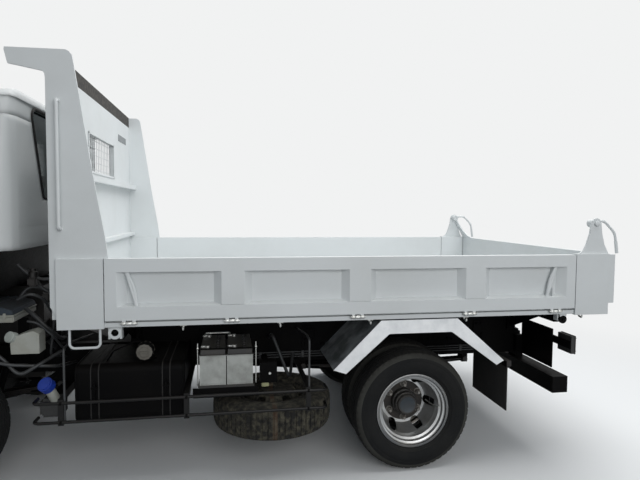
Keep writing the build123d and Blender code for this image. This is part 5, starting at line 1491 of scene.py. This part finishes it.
# %% Pedals, cowl, dials and visors
DASH = FRONT + 0.370
DIAL = [(0, 0), (0.036, 0), (0.036, 0.003), (0.033, 0.004), (0.032, 0.002), (0, 0.002)]
VISOR = ((0.385, 1.990), (0.430, 2.110), (0.446, 2.106), (0.401, 1.986))

pedals = []
for y, low in ((0.28, 0.98), (0.42, 0.98), (0.56, 0.94)):
    pedals += [slab((DASH, y - 0.035, low), (DASH + 0.014, y + 0.035, low + 0.075), 0.003),
               pipe([(DASH, y, low + 0.04), (DASH - 0.070, y, low + 0.12), (DASH - 0.100, y, 1.19)],
                    0.007)]
    for k in range(4):
        rib = low + 0.010 + k * 0.014
        pedals.append(slab((DASH + 0.014, y - 0.030, rib),
                           (DASH + 0.018, y + 0.030, rib + 0.007), 0.001))
piece("pedals", moulded_black, pedals, "cab")
cowl = [slab((FRONT + 0.180, 0.230, 1.435), (FRONT + 0.325, 0.610, 1.520), 0.015),
        slab((FRONT + 0.300, 0.225, 1.505), (FRONT + 0.355, 0.615, 1.525), 0.008),
        slab((FRONT + 0.350, -0.70, 1.335), (FRONT + 0.372, -0.25, 1.345), 0.004)]
cowl += [slab((FRONT + 0.345, y - 0.06, 1.375), (FRONT + 0.358, y + 0.06, 1.425), 0.004)
         for y in (-0.80, -0.10, 0.10, 0.82)]
piece("instrument_cowl", moulded_black, cowl, "cab")
dials = [turned(DIAL, (FRONT + 0.325, y, 1.473), "X") for y in (0.335, 0.505)]
piece("instrument_dials", clear_lens, dials, "cab")
visors = []
for _, side in SIDES:
    visors += [plate([(FRONT + x, z) for x, z in VISOR], side * 0.56, "Y", side * 0.16, 0.004),
               pipe([(FRONT + 0.438, side * 0.17, z) for z in (2.108, 2.20)], 0.006)]
piece("sun_visors", lining, visors, "cab")

# %% [markdown]
# Between cab and bed the photograph shows a dark bay. In it stands the air cleaner: a ribbed grey
# lid, clipped to a pale shell, with a corrugated duct towards the engine.

# %% Air cleaner
CLEANER_X, CLEANER_Y = (BED - 0.700, BED - 0.325), (-0.800, -0.430)
DUCT_X = BED - 0.420

front, rear = CLEANER_X
lid_line = [(front, 1.012), (rear, 1.012), (rear - 0.012, 1.040), (rear - 0.090, 1.066),
            (front, 1.066)]
lid = [plate(lid_line, 0.370, "Y", CLEANER_Y[0], 0.004)]
for k in range(6):
    x = front + 0.03 + k * 0.045
    lid.append(slab((x, CLEANER_Y[0] + 0.02, 1.064), (x + 0.012, CLEANER_Y[1] - 0.02, 1.071)))
lid.append(turned([(0, 0), (0.042, 0), (0.040, 0.018), (0, 0.020)],
                  (BED - 0.520, -0.66, 1.066), "Z", sides=32))
piece("air_cleaner_lid", cleaner_grey, lid)
shell = [slab((front, CLEANER_Y[0], 0.968), (rear, CLEANER_Y[1], 1.004), 0.006),
         slab((front - 0.004, CLEANER_Y[0] - 0.006, 1.003), (rear + 0.004, CLEANER_Y[1], 1.012))]
shell += [slab((x, CLEANER_Y[0] - 0.010, 0.990), (x + 0.016, CLEANER_Y[0] - 0.001, 1.024))
          for x in (BED - 0.38, BED - 0.47, BED - 0.60)]
piece("air_cleaner_shell", bottle_white, shell)
duct = [pipe([(DUCT_X, -0.435, 0.990), (DUCT_X, -0.360, 0.985), (DUCT_X, -0.281, 0.980)], 0.030,
             sides=24, bend=2)]
duct += [turned([(0.028, 0), (0.035, 0.002), (0.035, 0.007), (0.028, 0.009)],
                (DUCT_X, -0.415 + k * 0.018, 0.987), sides=28) for k in range(7)]
piece("intake_duct", moulded_black, duct)

# %% [markdown]
# Pipes for water, air and oil cross the bay from the frame to the cab, and three brake lines run
# back along the rail in clips. They are rigid and clipped, so each is a bent pipe with a radius.

# %% Bay and frame pipes
BAY_PIPES = (               # radius, then corners from the bed's front edge
    (0.011, (-0.11, -0.43, 0.70), (-0.115, -0.56, 0.92), (-0.18, -0.60, 1.13),
     (-0.30, -0.63, 1.16), (-0.36, -0.64, 1.071)),
    (0.008, (-0.15, -0.43, 0.66), (-0.16, -0.70, 0.74), (-0.12, -0.72, 1.05),
     (-0.135, -0.55, 1.22)),
    (0.010, (-0.09, -0.43, 0.62), (-0.09, -0.80, 0.70), (-0.33, -0.88, 0.74),
     (-0.56, -0.86, 0.80)),
    (0.014, (-0.21, -0.43, 0.72), (-0.215, -0.66, 0.86), (-0.225, -0.70, 0.968)),
    (0.009, (-0.08, -0.50, 1.22), (-0.08, -0.30, 1.24), (-0.10, 0.20, 1.22), (-0.12, 0.42, 0.80)),
    (0.009, (-0.08, -0.50, 1.22), (-0.10, -0.52, 0.90), (-0.11, -0.43, 0.74)),
    (0.011, (-0.42, -0.85, 0.81), (-0.367, -0.85, 0.767), (-0.286, -0.85, 0.663),
     (-0.19, -0.85, 0.719), (-0.09, -0.72, 0.77)),
    (0.010, (-0.335, -0.70, 1.30), (-0.271, -0.70, 1.235), (-0.19, -0.72, 1.205),
     (-0.095, -0.70, 1.225), (-0.07, -0.40, 1.23)),
    (0.013, (-0.32, -0.60, 1.25), (-0.25, -0.62, 1.16), (-0.16, -0.60, 1.09),
     (-0.12, -0.48, 0.95), (-0.13, -0.43, 0.75)),
    (0.009, (-0.31, -0.78, 1.10), (-0.235, -0.80, 1.14), (-0.17, -0.76, 1.10),
     (-0.15, -0.66, 0.98), (-0.20, -0.50, 0.90)),
    (0.012, (-0.28, -0.74, 1.04), (-0.215, -0.78, 1.00), (-0.14, -0.80, 0.93),
     (-0.10, -0.70, 0.84), (-0.13, -0.43, 0.80)),
    (0.007, (-0.24, -0.83, 0.98), (-0.18, -0.84, 0.97), (-0.11, -0.80, 0.88),
     (-0.09, -0.66, 0.76)),
)
FRAME_HOSE = (0.011, (1.19, -0.43, 0.74), (1.20, -0.58, 0.80), (1.32, -0.60, 0.485),
              (1.36, -0.43, 0.62))
VALVE = [(0, 0), (0.026, 0), (0.026, 0.030), (0.018, 0.036), (0.018, 0.052), (0, 0.054)]


def bay_pipe(radius, *corners):
    """A pipe whose corners are measured from the bed's front edge."""
    return pipe([(BED + x, y, z) for x, y, z in corners], radius, bend=5)


piece("bay_castings", cast_iron,
      [slab((BED - 0.270, -0.745, 1.170), (BED - 0.215, -0.685, 1.225), 0.010),
       slab((BED - 0.205, -0.700, 1.060), (BED - 0.160, -0.650, 1.120), 0.008),
       turned(VALVE, (BED - 0.242, -0.715, 1.225), "Z", sides=24)])
piece("bay_pipes", pipe_grey, [bay_pipe(*row) for row in BAY_PIPES])
lines = [pipe([(BED + 0.70, -0.436, z), (BED + 2.75, -0.436, z)], 0.0045, sides=10)
         for z in (0.595, 0.612, 0.629)]
for k in range(7):
    clip = BED + 0.82 + k * 0.30
    lines.append(slab((clip, -0.443, 0.588), (clip + 0.02, -0.425, 0.636)))
piece("frame_pipes", pipe_grey, lines + [bay_pipe(*FRAME_HOSE)])
piece("relay_plug", plug_pale,
      [slab((BED + 1.112, -0.884, 0.540), (BED + 1.158, -0.850, 0.5665), 0.003)])
piece("relay_screw", zinc,
      [turned([(0, 0), (0.009, 0), (0.007, -0.005), (0, -0.006)], (BED + 1.163, -0.885, 0.624),
              sides=20)])

# %% [markdown]
# The washer bottle is a low black tank with a pale neck and a blue cap, and the coolant bottle has
# a pale screw cap. Both caps lean outwards, so that they can be reached. Flat brackets from the
# frame carry them and the air cleaner.

# %% Brackets and bottles
BRACKETS = (                # two corners of each flat bar, from the bed's front edge
    ((-0.37, -0.70, 0.802), (-0.28, -0.425, 0.812)),
    ((-0.37, -0.438, 0.60), (-0.28, -0.425, 0.812)),
    ((-0.355, -0.66, 0.812), (-0.295, -0.60, 0.9685)),
    ((-0.17, -0.80, 0.478), (-0.08, -0.425, 0.490)),
    ((-0.17, -0.438, 0.478), (-0.08, -0.425, 0.600)),
)


def rod(start, end, radius, sides=32):
    """A straight round piece between two places measured from the bed's front edge."""
    return pipe([(BED + x, y, z) for x, y, z in (start, end)], radius, sides=sides)


bars = [slab(*[(BED + x, y, z) for x, y, z in corners]) for corners in BRACKETS]
piece("bay_brackets", chassis_black, bars)
piece("washer_tank", moulded_black,
      [slab((BED - 0.170, -0.890, 0.420), (BED - 0.040, -0.780, 0.530), 0.018)])
piece("washer_neck", bottle_white,
      [rod((-0.084, -0.860, 0.515), (-0.124, -0.876, 0.603), 0.028, sides=28)])
piece("washer_cap", cap_blue, [rod((-0.121, -0.868, 0.598), (-0.133, -0.896, 0.625), 0.043),
                               rod((-0.1325, -0.895, 0.624), (-0.1355, -0.902, 0.631), 0.036)])
piece("bottle_cap", bottle_cap_grey,
      [rod((-0.298, -0.868, 0.892), (-0.314, -0.900, 0.908), 0.0315),
       rod((-0.3135, -0.899, 0.9075), (-0.3165, -0.905, 0.9105), 0.025)])

# %% [markdown]
# The stage is a pale floor under a broad overcast light, as in a yard on a dull day: most light
# falls from above, so sides that face the camera are a good deal darker than tops. The floor
# and the world light the truck as grey, while camera, gloss and glass see them nearly white.

# %% Stage and light
BACKDROP = "#F1F2F2"
FLOOR_HALF = 60
FADE = (2.8, 6.2)           # distances between which the floor fades into the backdrop


def looked_at(tree):
    """1 where the camera, gloss or glass looks, and 0 where light only bounces."""
    path = add(tree, "ShaderNodeLightPath")
    mirrored = add(tree, "ShaderNodeMath", {"operation": "MAXIMUM"},
                   {0: path.outputs["Is Glossy Ray"], 1: path.outputs["Is Transmission Ray"]})
    return add(tree, "ShaderNodeMath", {"operation": "MAXIMUM"},
               {0: path.outputs["Is Camera Ray"], 1: mirrored.outputs[0]}).outputs[0]


def backdrop(tree, lit, seen):
    """A colour that lights the object as lit, and that camera, gloss and glass see as seen."""
    return add(tree, "ShaderNodeMix", {"data_type": "RGBA", 6: linear(lit), 7: linear(seen)},
               {0: looked_at(tree)}).outputs[2]


floor = bpy.data.objects.new("floor", bpy.data.meshes.new("floor"))
corners = [(FLOOR_HALF * x, FLOOR_HALF * y, 0) for x, y in ((-1, -1), (1, -1), (1, 1), (-1, 1))]
floor.data.from_pydata(corners, [], [(0, 1, 2, 3)])
bpy.context.scene.collection.objects.link(floor)
concrete, tree, shader = new_finish("pale_studio_floor")
shader.inputs["Roughness"].default_value = 0.95
tree.links.new(backdrop(tree, "#5E5F60", "#E4E5E5"), shader.inputs["Base Color"])
place = add(tree, "ShaderNodeTexCoord").outputs["Object"]
distance = add(tree, "ShaderNodeVectorMath", {"operation": "LENGTH"}, {0: place})
fade = add(tree, "ShaderNodeMapRange",
           {"interpolation_type": "SMOOTHSTEP", "From Min": FADE[0], "From Max": FADE[1]},
           {"Value": distance.outputs["Value"]})
pale = add(tree, "ShaderNodeEmission", {"Color": linear(BACKDROP)})
share = add(tree, "ShaderNodeMath", {"operation": "MULTIPLY"},
            {0: fade.outputs[0], 1: looked_at(tree)})
faded = add(tree, "ShaderNodeMixShader", None,
            {0: share.outputs[0], 1: shader.outputs[0], 2: pale.outputs[0]})
tree.links.new(faded.outputs[0], tree.nodes["Material Output"].inputs["Surface"])
floor.data.materials.append(concrete)

world = bpy.data.worlds.new("studio")
bpy.context.scene.world = world
world.use_nodes = True
sky = world.node_tree.nodes["Background"]
world.node_tree.links.new(backdrop(world.node_tree, "#8C9297", BACKDROP), sky.inputs["Color"])


def lamp(name, place, aim, size, power):
    """A rectangular area light at a place, turned to aim at another, in watts."""
    light = bpy.data.lights.new(name, "AREA")
    light.shape = "RECTANGLE"
    light.size, light.size_y = size
    light.energy = power
    made = bpy.data.objects.new(name, light)
    made.location = place
    made.rotation_euler = (Vector(aim) - Vector(place)).to_track_quat("-Z", "Y").to_euler()
    bpy.context.scene.collection.objects.link(made)


lamp("overcast", (2.4, 0.8, 7.0), (0.4, 0.2, 0.8), (8, 6), 530)
lamp("fill", (2.0, -7.5, 3.2), (0.2, -0.5, 0.9), (6, 4), 215)

# %% [markdown]
# The camera was solved from the photograph's straight edges: its place, three turns in radians
# and its focal length in pixels. Blender wants a lens in millimetres for a sensor 36 mm wide.

# %% Camera
CAMERA_AT = Vector((0.91593 + BED, -4.07587, 1.64045))
YAW, PITCH, ROLL = 0.1728, -0.0581, 0.0075
FOCAL_PIXELS, PICTURE_WIDTH = 521.7318, 640
forward = Vector((math.sin(YAW) * math.cos(PITCH), math.cos(YAW) * math.cos(PITCH),
                  math.sin(PITCH)))
right = Vector((math.cos(YAW), -math.sin(YAW), 0))
up = right.cross(forward)
rolled_right = right * math.cos(ROLL) + up * math.sin(ROLL)
rolled_up = up * math.cos(ROLL) - right * math.sin(ROLL)
lens = bpy.data.cameras.new("camera")
lens.sensor_width = 36
lens.lens = lens.sensor_width * FOCAL_PIXELS / PICTURE_WIDTH
camera = bpy.data.objects.new("camera", lens)
facing = Matrix((rolled_right, rolled_up, -forward)).transposed()
camera.matrix_world = Matrix.Translation(CAMERA_AT) @ facing.to_4x4()
bpy.context.scene.collection.objects.link(camera)
bpy.context.scene.camera = camera
bpy.context.scene.view_settings.view_transform = "Standard"
print("lens:", round(lens.lens, 2), "mm")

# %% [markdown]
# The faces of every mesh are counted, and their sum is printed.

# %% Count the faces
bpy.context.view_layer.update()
faces = sum(len(shown.data.polygons) for shown in bpy.data.objects if shown.type == "MESH")
print("faces in all:", faces)
